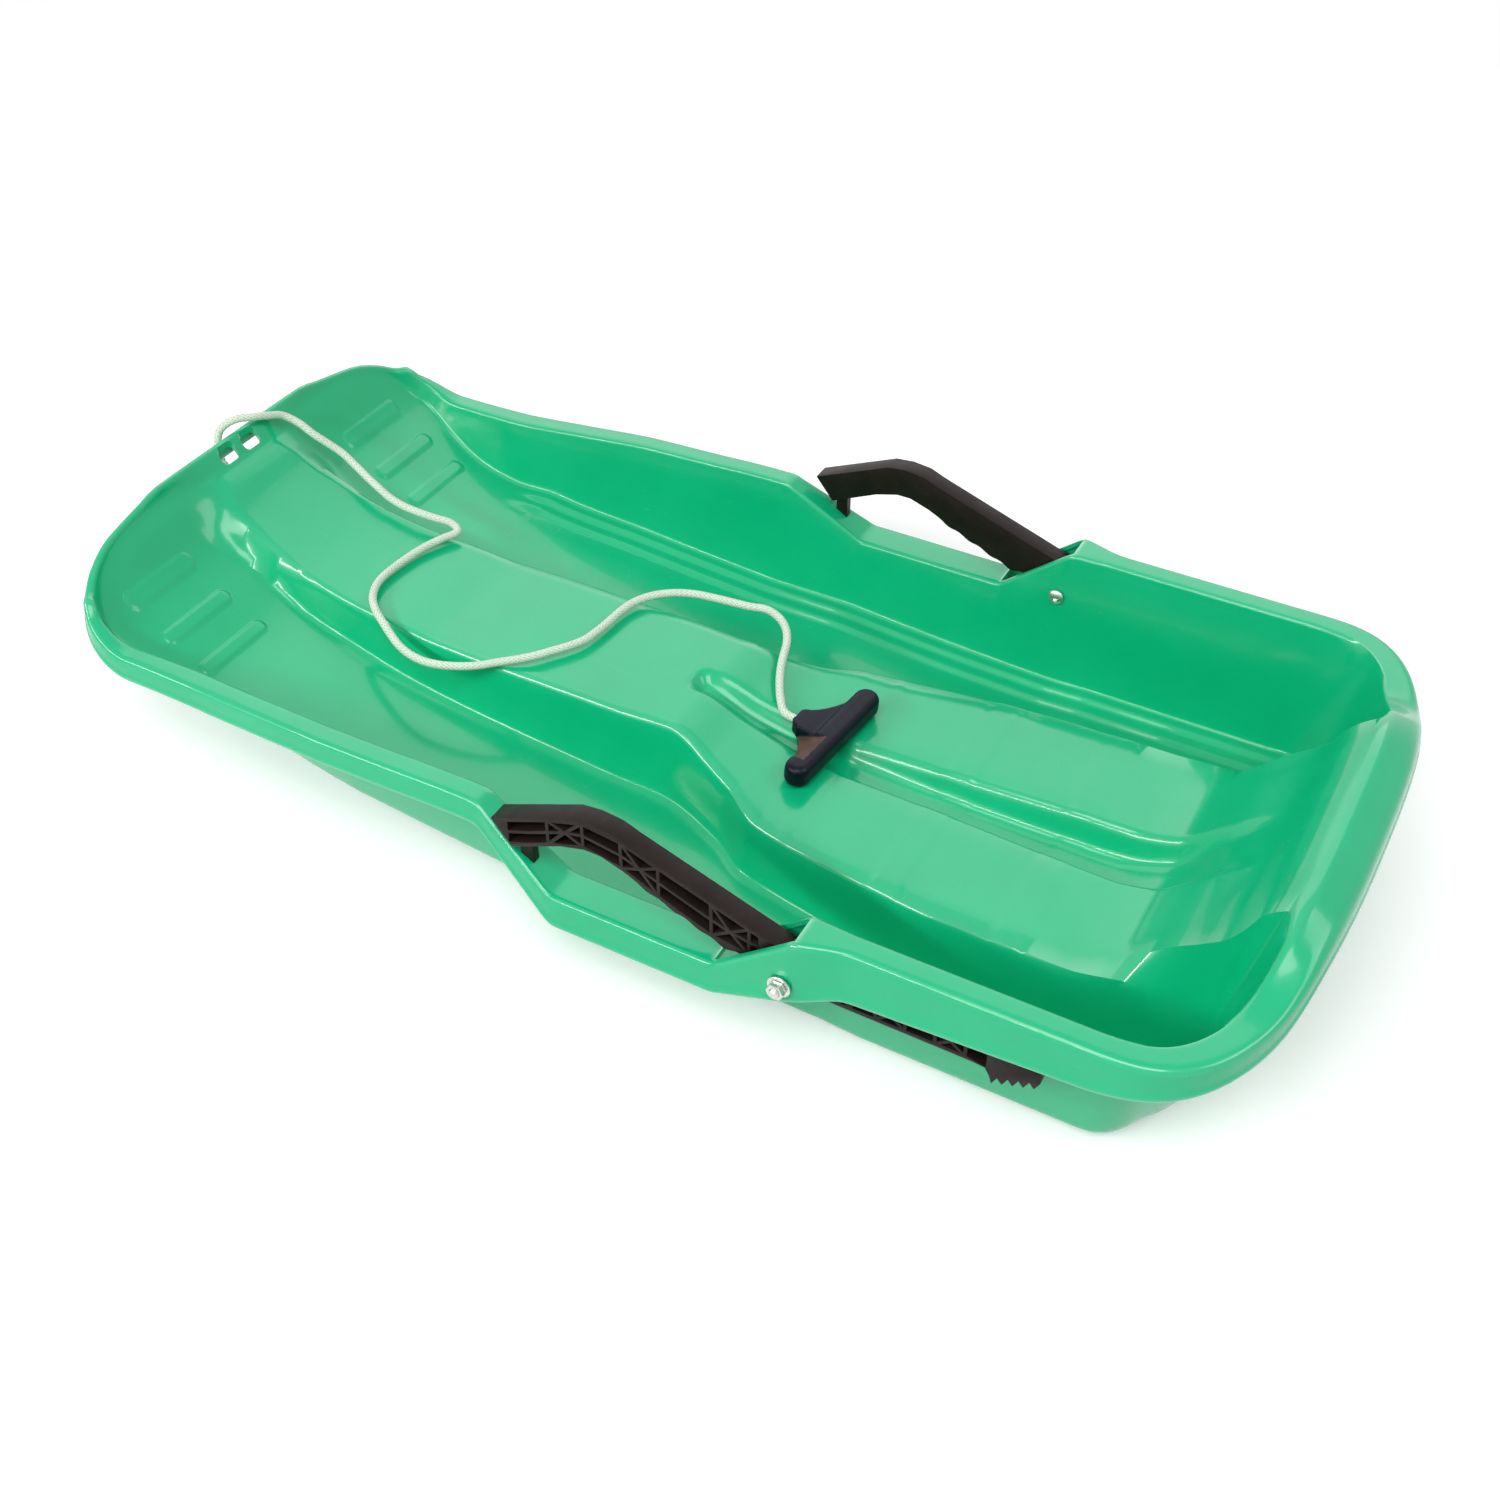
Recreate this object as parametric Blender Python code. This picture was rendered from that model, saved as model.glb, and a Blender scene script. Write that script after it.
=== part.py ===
"""Moulded toboggan with two hinged brake levers, a tow rope and a T handle.

+X points to the nose, +Y to the rider's left, +Z up. The sled stands on Z = 0.
Its middle is at X = Y = 0.
"""

import math

import bmesh
import bpy
from mathutils import Vector

MM = 0.001

# Hull, overall
HULL_LENGTH = 869 * MM
WALL = 3 * MM
REAR_HALF_WIDTH = 220 * MM
EAR_BULGE = 9 * MM
FRONT_INSET = 8 * MM
NOSE_INSET = 20 * MM
EAR_HALF_WIDTH = REAR_HALF_WIDTH + EAR_BULGE
FRONT_HALF_WIDTH = REAR_HALF_WIDTH - FRONT_INSET
NOSE_HALF_WIDTH = REAR_HALF_WIDTH - NOSE_INSET
NOSE_CURVE_LENGTH = 91 * MM
TAIL_CURVE_LENGTH = 96 * MM
RIM_HEIGHT = 111 * MM
NOTCH_HEIGHT = 68 * MM
NOSE_HEIGHT = 144 * MM
TAIL_HEIGHT = 142 * MM
TAIL_EDGE_HEIGHT = 131 * MM
RIM_WIDTH = 17 * MM
EAR_RIM_WIDTH = 27.5 * MM
TAIL_RIM_WIDTH = 22 * MM
EDGE_ROUND = 4.5 * MM
SKIRT_FLARE = 1.5 * MM
WALL_RUN = 15 * MM
TAIL_WALL_RUN = 26 * MM
LIP_RUN = 9 * MM

# Skirt depths below the rim
FRONT_SKIRT = 15 * MM
NOTCH_SKIRT = 21 * MM
EAR_SKIRT = 45 * MM
REAR_SKIRT = 28 * MM
TAIL_SKIRT = 13 * MM

# Middle body: seat, hump between the legs and centre groove
SEAT_HEIGHT = 44 * MM
HUMP_HEIGHT = 68 * MM
SEAT_INSET = 108 * MM
SEAT_HALF_WIDTH = REAR_HALF_WIDTH - SEAT_INSET
SEAT_WALL_RUN = 9 * MM
GROOVE_HALF_WIDTH = 23 * MM
GROOVE_WALL_RUN = 9 * MM
GROOVE_DEPTH = 20 * MM
SEAM_WIDTH = 20 * MM
SEAM_PITCH = 85 * MM
SEAM_RISE = 1.2 * MM
SEAM_RAMP = 3 * MM
SEAM_FIRST = 76.5 * MM

# Runner steps along the foot of each side wall
STEP_RISE = 3 * MM
STEP_RAMP = 3 * MM
STEP_WIDTH = 12 * MM

# Ribs on the slopes of the two foot wells
FOOT_RIB_RISE = 2.5 * MM
FOOT_RIB_WIDTH = 11 * MM
FOOT_RIB_LENGTH = 66 * MM
FOOT_RIB_INSET = 98 * MM
FOOT_RIB_MIDDLE = REAR_HALF_WIDTH - FOOT_RIB_INSET

# Pivot, notch and lever slot
PIVOT_X = -156.5 * MM
PIVOT_HEIGHT = 77 * MM
NOTCH_FRONT_TOP = 64.5 * MM
NOTCH_FRONT_FOOT = 3.5 * MM
NOTCH_REAR_FOOT = 46 * MM
NOTCH_REAR_TOP = 6 * MM
EAR_TAPER = 29 * MM

# Holes for the rope in the nose
ROPE_HOLE_LENGTH = 17 * MM
ROPE_HOLE_WIDTH = 8 * MM
ROPE_HOLE_PITCH = 24 * MM
ROPE_HOLE_BACK = 10 * MM

# Brake lever
GRIP_INSET = 21 * MM
GRIP_INNER = EAR_HALF_WIDTH - GRIP_INSET
GRIP_WIDTH = 14 * MM
ARM_INSET = 23 * MM
ARM_INNER = EAR_HALF_WIDTH - ARM_INSET
ARM_WIDTH = 10 * MM
BOSS_INSET = 24 * MM
BOSS_INNER = EAR_HALF_WIDTH - BOSS_INSET
BOSS_WIDTH = 18.5 * MM
BOSS_RADIUS = 14 * MM
GRIP_LENGTH = 202 * MM
GRIP_RISE = 66 * MM
ARM_LENGTH = 155 * MM
CLAW_TEETH = 5
TOOTH_DEPTH = 5 * MM
GRIP_WAVES = 4
WAVE_DEPTH = 1.5 * MM
LEVER_SKIN = 3 * MM
LEVER_RIB = 2.2 * MM
LEVER_WEB = 3 * MM
REST_WIDTH = 6 * MM
REST_LENGTH = 9 * MM

# Pivot bolt, washer and nut
BOLT_RADIUS = 3 * MM
BORE_RADIUS = 3.3 * MM
HEAD_RADIUS = 6 * MM
HEAD_DEPTH = 3.2 * MM
HEX_SOCKET_RADIUS = 2.4 * MM
WASHER_RADIUS = 7.5 * MM
WASHER_DEPTH = 1.4 * MM
NUT_RADIUS = 5.8 * MM
NUT_DEPTH = 4.4 * MM
BOLT_END = 2 * MM
GAP = 0.3 * MM

# Tow rope, its knot and its handle
ROPE_DIAMETER = 6 * MM
ROPE_STEP = 13 * MM
KNOT_RADIUS = 7.5 * MM
HANDLE_LENGTH = 104 * MM
HANDLE_WIDTH = 15 * MM
HANDLE_THICKNESS = 15 * MM
NECK_LENGTH = 20 * MM
NECK_WIDTH = 60 * MM
NECK_THICKNESS = 10 * MM
HANDLE_RADIUS = 4 * MM
RECESS_DEPTH = 2 * MM
ROPE_SOCKET_DEPTH = 16 * MM
HANDLE_X = -72 * MM
HANDLE_Y = -2.5 * MM
HANDLE_TURN = math.radians(-5.7)
HANDLE_TILT = math.radians(4)

# Shapes below are tables of shares. A place is a share of the hull's length, measured from its middle.

# Value: share of the way from the wall's thickness up to the nose's height
TROUGH_SHARES = (
    (-0.45, 0.06), (-0.375, 0.0), (-0.2145, 0.0), (-0.1221, 0.014), (-0.0308, 0.05), (0.073, 0.106),
    (0.1769, 0.163), (0.2652, 0.22), (0.3274, 0.298), (0.3806, 0.376), (0.4267, 0.525), (0.4619, 0.681),
    (0.49, 0.936), (0.495, 0.96),
)
# Value: share of the way from the seat's height up to the tail's height
TAIL_SLOPE_SHARES = (
    (-0.4693, 1.0), (-0.4503, 0.857), (-0.4272, 0.571), (-0.3991, 0.357), (-0.375, 0.163),
    (-0.3585, 0.061),
)
# Value: share of the way from the seat's height up to the hump's height
HUMP_RAMP_SHARES = (
    (-0.3238, 0.0), (-0.088, 0.0), (-0.0579, 0.167), (-0.0178, 0.5), (0.0248, 1.0), (0.2457, 1.0),
)
# Value: share of the way from the hump's height up to the nose's height
NOSE_SLOPE_SHARES = (
    (0.2873, 0.039), (0.3294, 0.079), (0.3796, 0.184), (0.4137, 0.329), (0.4478, 0.526),
    (0.4839, 0.816), (0.49, 0.83),
)
# Value: half width of the middle body's top as a share of the seat's half width
BODY_WIDTH_SHARES = (
    (-0.4653, 0.85), (-0.3991, 0.89), (-0.3299, 1.0), (-0.2305, 0.982), (-0.1733, 0.9375),
    (-0.1156, 0.875),
    (-0.0697, 0.804), (-0.0351, 0.643), (0.0271, 0.5), (0.073, 0.518), (0.1719, 0.518), (0.2873, 0.491),
    (0.3796, 0.446), (0.4478, 0.402), (0.4839, 0.268),
)
# Value: share of the seat wall's run
BODY_RUN_SHARES = (
    (-0.4533, 2.2), (-0.3931, 1.7), (-0.3329, 1.0), (0.4368, 1.0), (0.4649, 3.0), (0.4925, 5.5),
)
# Value: share of the groove's depth, and of its half width
GROOVE_DEPTH_SHARES = (
    (-0.4282, 0.0), (-0.4131, 0.15), (-0.363, 0.8), (-0.3028, 1.0), (-0.1914, 0.85), (-0.0996, 0.65),
    (0.0153, 0.5), (0.0284, 0.4), (0.0404, 0.0),
)
GROOVE_WIDTH_SHARES = (
    (-0.4031, 1.1), (-0.2947, 1.0), (-0.1914, 0.826), (-0.0996, 0.74), (0.0153, 0.52),
)
# Value: share of the step's rise
STEP_SHARES = ((-0.4332, 0.0), (-0.4031, 1.0), (0.2993, 1.0), (0.3445, 0.0))
# Places of the foot ribs
FOOT_RIB_PLACE_SHARES = (0.3941, 0.4275, 0.4608)
# Value: share of the rim's height
FRONT_RIM_SHARES = (
    (0.0906, 0.946), (0.1558, 0.928), (0.2215, 0.91), (0.2873, 0.878), (0.3525, 0.851), (0.4197, 0.847),
    (0.4629, 0.982), (0.4724, 1.063),
)
# Share of the nose's half width, and share of the way up to the nose's height
NOSE_RISE_SHARES = ((0.4, 1.0), (0.5, 0.85), (0.6, 0.73), (0.7, 0.615), (0.8, 0.346), (0.9, 0.0))
# Share of the rear half width, and share of the way up to the tail's height
TAIL_RISE_SHARES = ((0.36, 1.0), (0.5, 0.8), (0.62, 0.25), (0.72, 0.0))
TAIL_BLEND_SHARES = ((-0.4583, 1.0), (-0.4031, 0.0))
# Value: share of the nose's half width and of the front's, from the notch to the nose
FRONT_SIDE_SHARES = ((0.2215, 0.99), (0.2873, 0.969), (0.3525, 0.948), (0.3956, 0.943))
# Value: shares of the rim's width, of the wall's run and of the lip's run
RIM_WIDTH_SHARES = ((0.3525, 1.0), (0.4197, 0.9), (0.4629, 0.5), (0.49, 0.26))
WALL_RUN_SHARES = ((0.3595, 1.0), (0.4197, 0.75), (0.4629, 0.35), (0.49, 0.13))
LIP_RUN_SHARES = ((0.15, 0.8), (0.4, 0.0))
LIP_BLEND_SHARES = ((0.4699, 0.0), (0.49, 1.0))
# Distance in from the outline as a share of the rim's width, height above it as a share of the edge's round
RIM_RING_SHARES = ((1.0, -0.6), (0.88, 0.22), (0.17, 0.22), (0.04, -0.2), (0.0, -1.0))
FRONT_STATION_SHARES = (
    0.0324, 0.1087, 0.1438, 0.1789, 0.214, 0.2491, 0.2792, 0.3093, 0.3394, 0.3645, 0.3896, 0.4117,
    0.4298, 0.4448,
)
REAR_STATION_SHARES = (-0.378, -0.3549, -0.2375, -0.1573, -0.0619, -0.0318)
CORNER_STATION_SHARES = (0.6, 0.42, 0.22, 0.0)
NOSE_CORNER_SHARE = 0.74
FADE_STATIONS = 7

# Lever outlines: forward of the pivot as shares of the grip's length and rise, behind it of the arm's length
GRIP_TOP_SHARES = (
    (1.0, 0.507), (0.708, 0.901), (0.639, 0.924), (0.569, 0.901), (0.515, 0.833), (0.035, 0.33),
    (-0.03, 0.28),
)
GRIP_BOTTOM_SHARES = (
    (0.2, 0.05), (0.4455, 0.363), (0.54, 0.5), (0.614, 0.576), (0.668, 0.576), (0.752, 0.5),
    (0.931, 0.242),
)
ARM_TOP_SHARES = ((-0.02, 0.085), (-0.2, 0.05), (-0.985, -0.006), (-1.0, -0.02))
CLAW_SHARES = ((-1.0, -0.09), (-0.82, -0.16))
ARM_BOTTOM_SHARES = ((-0.81, -0.14), (-0.79, -0.105), (-0.74, -0.1), (-0.1, -0.095))
WAVE_SPAN_SHARES = (0.16, 0.5)
# Neck of the handle: share of the way to its tip, half width as a share of the neck's width
NECK_SHARES = ((0.0, 0.56), (0.12, 0.5), (0.4, 0.31), (0.75, 0.17), (0.93, 0.13), (1.0, 0.1))
# Middles of the crossed ribs and half their length
GRIP_CROSS_SHARES = (0.183, 0.48, 0.733)
GRIP_POCKET_SHARES = (0.085, 0.945)
GRIP_CROSS_REACH_SHARE = 0.062
ARM_CROSS_SHARES = (-0.19, -0.41, -0.65)
ARM_POCKET_SHARES = (-0.8, -0.11)
ARM_CROSS_REACH_SHARE = 0.06

# Rope route: place share of the hull's length, share of the nose's half width, share of the nose's height
ROPE_ROUTE_SHARES = (
    (0.4834, 0.045, 0.8), (0.4965, 0.035, 0.815), (0.5075, 0.025, 0.87), (0.509, 0.012, 0.96),
    (0.505, -0.01, 1.035), (0.4965, -0.045, 1.065), (0.4885, -0.09, 1.06), (0.4829, -0.15, 1.035),
    (0.4779, -0.21, 1.0), (0.4664, -0.235, 0.955), (0.4503, -0.25, 0.885), (0.4353, -0.275, 0.82),
    (0.4182, -0.275, 0.755), (0.3987, -0.255, 0.71), (0.3736, -0.245, 0.64), (0.348, -0.25, 0.61),
    (0.3214, -0.28, 0.575), (0.3108, -0.285, 0.56), (0.3114, -0.26, 0.55), (0.3229, -0.12, 0.547),
    (0.3274, 0.06, 0.548), (0.3239, 0.165, 0.549), (0.3114, 0.25, 0.545), (0.2883, 0.32, 0.53),
    (0.2607, 0.38, 0.5),
    (0.2351, 0.395, 0.49), (0.211, 0.37, 0.495), (0.1919, 0.33, 0.505), (0.1799, 0.285, 0.51),
    (0.1628, 0.22, 0.515), (0.1498, 0.145, 0.515), (0.1362, 0.05, 0.515), (0.1317, -0.06, 0.515),
    (0.1297, -0.175, 0.515), (0.1237, -0.265, 0.515), (0.1066, -0.345, 0.515), (0.0846, -0.39, 0.51),
    (0.0595, -0.405, 0.51), (0.0404, -0.42, 0.505), (0.0203, -0.435, 0.5), (0.0018, -0.38, 0.49),
    (-0.0077, -0.31, 0.475), (-0.0133, -0.225, 0.45), (-0.0228, -0.135, 0.422), (-0.0325, -0.068, 0.408),
    (-0.0395, -0.036, 0.398),
)
KNOT_SHARES = (0.4739, 0.06, 0.73)


def clear_scene():
    for item in list(bpy.data.objects):
        bpy.data.objects.remove(item, do_unlink=True)


def clamp(value):
    return max(0.0, min(1.0, value))


def smooth(value):
    t = clamp(value)
    return t * t * (3 - 2 * t)


def placed(shares, low, high, length=HULL_LENGTH):
    """Table of real places and values from a table of shares."""
    return [(place * length, low + (high - low) * share) for place, share in shares]


def linear(x, table):
    """Straight runs through a table of (place, value), level beyond its ends."""
    if x <= table[0][0]:
        return table[0][1]
    for a, b in zip(table, table[1:]):
        if x <= b[0]:
            return a[1] + (b[1] - a[1]) * (x - a[0]) / (b[0] - a[0])
    return table[-1][1]


def along(x, table):
    """Smooth curve through a table of (place, value) that never overshoots, level beyond its ends."""
    if x <= table[0][0]:
        return table[0][1]
    if x >= table[-1][0]:
        return table[-1][1]
    slopes = [(b[1] - a[1]) / (b[0] - a[0]) for a, b in zip(table, table[1:])]
    for i, (a, b) in enumerate(zip(table, table[1:])):
        if x <= b[0]:
            break

    def tangent(k):
        if k == 0 or k == len(slopes) or slopes[k - 1] * slopes[k] <= 0:
            return 0.0
        return 2 * slopes[k - 1] * slopes[k] / (slopes[k - 1] + slopes[k])

    width = b[0] - a[0]
    t = (x - a[0]) / width
    low = (2 * t**3 - 3 * t**2 + 1) * a[1] + (t**3 - 2 * t**2 + t) * tangent(i) * width
    return low + (3 * t**2 - 2 * t**3) * b[1] + (t**3 - t**2) * tangent(i + 1) * width


# Hull lines

HALF_LENGTH = HULL_LENGTH / 2
NOSE_START = HALF_LENGTH - SKIRT_FLARE - NOSE_CURVE_LENGTH
TAIL_START = -HALF_LENGTH + SKIRT_FLARE + TAIL_CURVE_LENGTH
NOSE_POWER = 4.1
TAIL_POWER = 2.85
REAR_FOOT = PIVOT_X + NOTCH_REAR_FOOT
REAR_TOP = PIVOT_X - NOTCH_REAR_TOP
EAR_END = REAR_TOP - EAR_TAPER

TROUGH_LINE = placed(TROUGH_SHARES, WALL, NOSE_HEIGHT)
BODY_LINE = placed(TAIL_SLOPE_SHARES, SEAT_HEIGHT, TAIL_HEIGHT)
BODY_LINE += placed(HUMP_RAMP_SHARES, SEAT_HEIGHT, HUMP_HEIGHT)
BODY_LINE += placed(NOSE_SLOPE_SHARES, HUMP_HEIGHT, NOSE_HEIGHT)
BODY_WIDTH_LINE = placed(BODY_WIDTH_SHARES, 0, SEAT_HALF_WIDTH)
BODY_RUN_LINE = placed(BODY_RUN_SHARES, 0, SEAT_WALL_RUN)
GROOVE_LINE = placed(GROOVE_DEPTH_SHARES, 0, GROOVE_DEPTH)
GROOVE_WIDTH_LINE = placed(GROOVE_WIDTH_SHARES, 0, GROOVE_HALF_WIDTH)
STEP_LINE = placed(STEP_SHARES, 0, STEP_RISE)
FRONT_RIM_LINE = placed(FRONT_RIM_SHARES, 0, RIM_HEIGHT)
NOSE_RISE_LINE = placed(NOSE_RISE_SHARES, 0, 1, NOSE_HALF_WIDTH)
TAIL_RISE_LINE = placed(TAIL_RISE_SHARES, 0, 1, REAR_HALF_WIDTH)
TAIL_BLEND_LINE = placed(TAIL_BLEND_SHARES, 0, 1)
LIP_RUN_LINE = placed(LIP_RUN_SHARES, 0, LIP_RUN, NOSE_HALF_WIDTH)
LIP_BLEND_LINE = placed(LIP_BLEND_SHARES, 0, 1)
NOTCH_LINE = [
    (REAR_TOP, RIM_HEIGHT),
    (REAR_FOOT, NOTCH_HEIGHT),
    (NOTCH_FRONT_FOOT, NOTCH_HEIGHT),
    (NOTCH_FRONT_TOP, FRONT_RIM_LINE[0][1]),
]
SIDE_LINE = [
    (EAR_END, REAR_HALF_WIDTH),
    (REAR_TOP, EAR_HALF_WIDTH),
    (NOTCH_FRONT_FOOT, EAR_HALF_WIDTH),
    (NOTCH_FRONT_TOP, FRONT_HALF_WIDTH),
] + placed(FRONT_SIDE_SHARES, 0, FRONT_HALF_WIDTH)
SKIRT_LINE = [
    (TAIL_START - TAIL_CURVE_LENGTH, TAIL_SKIRT),
    (TAIL_START, REAR_SKIRT),
    (EAR_END, (REAR_SKIRT + EAR_SKIRT) / 2),
    (REAR_TOP, EAR_SKIRT),
    (REAR_FOOT, NOTCH_SKIRT),
    (NOTCH_FRONT_FOOT, NOTCH_SKIRT),
    (NOTCH_FRONT_TOP, FRONT_SKIRT),
]
RIM_WIDTH_LINE = [
    (TAIL_START - TAIL_CURVE_LENGTH, TAIL_RIM_WIDTH),
    (TAIL_START, RIM_WIDTH),
    (EAR_END, RIM_WIDTH),
    (REAR_TOP, EAR_RIM_WIDTH),
    (NOTCH_FRONT_FOOT, EAR_RIM_WIDTH),
    (NOTCH_FRONT_TOP, RIM_WIDTH),
] + placed(RIM_WIDTH_SHARES, 0, RIM_WIDTH)
WALL_RUN_LINE = placed(WALL_RUN_SHARES, 0, WALL_RUN)


def rim_height(x, y):
    """Height of the rim's outer top edge."""
    if x > NOTCH_FRONT_TOP:
        side = along(x, FRONT_RIM_LINE)
        if x > FRONT_RIM_LINE[-2][0]:
            side += (NOSE_HEIGHT - side) * along(abs(y), NOSE_RISE_LINE)
        return side
    side = linear(x, NOTCH_LINE)
    return side + (TAIL_EDGE_HEIGHT - side) * tail_share(x, y)


def tail_share(x, y):
    """How much of the tail's rise a place on the rim has."""
    return along(abs(y), TAIL_RISE_LINE) * along(x, TAIL_BLEND_LINE)


def band(x, middle, width, ramp):
    return clamp((width / 2 - abs(x - middle)) / ramp + 0.5)


def seam_places():
    return [-SEAM_FIRST - SEAM_PITCH * i for i in range(3)]


def body_height(x):
    height = along(x, BODY_LINE)
    for place in seam_places():
        height += SEAM_RISE * band(x, place, SEAM_WIDTH, SEAM_RAMP)
    return height


def floor_height(x, y, side):
    """Height of the moulding's top face inside the tub, where side is the tub's half width there."""
    y = abs(y)
    low = along(x, TROUGH_LINE)
    step = along(x, STEP_LINE)
    low += step * clamp((y - (side - 2 * STEP_WIDTH)) / STEP_RAMP)
    low += step * clamp((y - (side - STEP_WIDTH)) / STEP_RAMP)
    half = along(x, BODY_WIDTH_LINE)
    run = along(x, BODY_RUN_LINE)
    height = low + (max(body_height(x), low) - low) * clamp((half + run - y) / run)
    lip = along(x, GROOVE_WIDTH_LINE)
    return height - along(x, GROOVE_LINE) * clamp((lip - y) / GROOVE_WALL_RUN)


def end_curve(share, power):
    return (1 - min(abs(share), 1) ** power) ** (1 / power)


def side_half_width(x):
    if x > NOSE_START:
        return NOSE_HALF_WIDTH * end_curve((x - NOSE_START) / NOSE_CURVE_LENGTH, NOSE_POWER)
    if x < TAIL_START:
        return REAR_HALF_WIDTH * end_curve((TAIL_START - x) / TAIL_CURVE_LENGTH, TAIL_POWER)
    return linear(x, SIDE_LINE)


def end_place(y, nose):
    """X of the outline's end at a half width."""
    if nose:
        return NOSE_START + NOSE_CURVE_LENGTH * end_curve(y / NOSE_HALF_WIDTH, NOSE_POWER)
    return TAIL_START - TAIL_CURVE_LENGTH * end_curve(y / REAR_HALF_WIDTH, TAIL_POWER)


def stations():
    places = [TAIL_START - TAIL_CURVE_LENGTH * share for share in CORNER_STATION_SHARES]
    places += [share * HULL_LENGTH for share in REAR_STATION_SHARES + FRONT_STATION_SHARES]
    for seam in seam_places():
        for sign in (-1, 1):
            edge = seam + sign * SEAM_WIDTH / 2
            places += [edge - SEAM_RAMP / 2, edge + SEAM_RAMP / 2]
    places += [EAR_END, REAR_TOP, REAR_FOOT, NOTCH_FRONT_FOOT, NOTCH_FRONT_TOP]
    return sorted(places + [NOSE_START + NOSE_CURVE_LENGTH * NOSE_CORNER_SHARE])


def wall_run(x, y):
    """How far in the tub's wall leans from its top to its foot."""
    if x < TAIL_START:
        outside = clamp((abs(y) - along(x, BODY_WIDTH_LINE)) / along(x, BODY_RUN_LINE))
        tail = WALL_RUN * 0.8 + (TAIL_WALL_RUN - WALL_RUN * 0.8) * outside
        return WALL_RUN + (tail - WALL_RUN) * smooth((TAIL_START - x) / (TAIL_CURVE_LENGTH / 2))
    return along(x, WALL_RUN_LINE) + along(abs(y), LIP_RUN_LINE) * along(x, LIP_BLEND_LINE)


def foot_point(point, normal):
    return point - normal * (linear(point.x, RIM_WIDTH_LINE) + wall_run(point.x, point.y))


def column_half_widths(x, side):
    """Half widths of the floor's columns at a station, from the middle out to the tub's wall."""
    lip = along(x, GROOVE_WIDTH_LINE)
    half = along(x, BODY_WIDTH_LINE)
    foot = half + along(x, BODY_RUN_LINE)
    room = side - foot
    step = min(STEP_WIDTH, room / 4)
    ramp = min(STEP_RAMP, step / 3)
    inner = side - 2 * step
    outer = side - step
    groove = lip - GROOVE_WALL_RUN
    middle = (foot + inner) / 2
    places = [0, groove, lip, (lip + half) / 2, half, foot, middle]
    return places + [inner, inner + ramp, outer, outer + ramp, side]


def outline_sides():
    """Outline points and their outward normals at the stations, from tail to nose."""
    sides = []
    for x in stations():
        ahead = side_half_width(x + GAP) - side_half_width(x - GAP)
        normal = Vector((-ahead, 2 * GAP)).normalized()
        if EAR_END <= x <= NOTCH_FRONT_TOP:
            normal = Vector((0, 1))
        sides.append((Vector((x, side_half_width(x))), normal))
    return sides


def outline_end(corner, nose):
    """Outline points and normals across an end, from the middle out to the corner station."""
    reach = foot_point(*corner).y
    middle = end_place(0, nose) - (1 if nose else -1) * RIM_WIDTH
    row = []
    for half in column_half_widths(middle, reach):
        y = half * corner[0].y / reach
        ahead = end_place(y + GAP, nose) - end_place(y - GAP, nose)
        sign = 1 if nose else -1
        row.append((Vector((end_place(y, nose), y)), Vector((2 * GAP * sign, -ahead * sign)).normalized()))
    row[-1] = corner
    return row


def floor_rows(sides, ends):
    """Plan points of the tub's floor, one row per station and one column per half width."""
    edges = [[foot_point(*pair) for pair in row] for row in ends]
    last = len(sides) - 1
    rows = []
    for i, pair in enumerate(sides):
        side = foot_point(*pair)
        row = []
        for j, y in enumerate(column_half_widths(side.x, side.y)):
            x = side.x
            fades = ((1 - i / FADE_STATIONS, edges[0]), (1 - (last - i) / FADE_STATIONS, edges[1]))
            for share, edge in fades:
                x += smooth(share) * (edge[j].x - edge[-1].x)
                y += smooth(share) * (edge[j].y * side.y / edge[-1].y - y)
            row.append(Vector((x, y)))
        rows.append(row)
    rows[0], rows[-1] = edges
    return rows


def ring_profile(point, normal):
    """Points from the top of the tub's wall out over the rim and down to the skirt's lower edge."""
    rim = linear(point.x, RIM_WIDTH_LINE)
    top = rim_height(point.x, point.y)
    skirt = linear(point.x, SKIRT_LINE)
    lift = (TAIL_HEIGHT - TAIL_EDGE_HEIGHT) * tail_share(point.x, point.y)
    points = []
    for back, rise in RIM_RING_SHARES:
        place = point - normal * (rim * back)
        points.append(Vector((place.x, place.y, top + lift * back + EDGE_ROUND * rise)))
    place = point + normal * SKIRT_FLARE
    points.append(Vector((place.x, place.y, top - skirt)))
    return points


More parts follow.
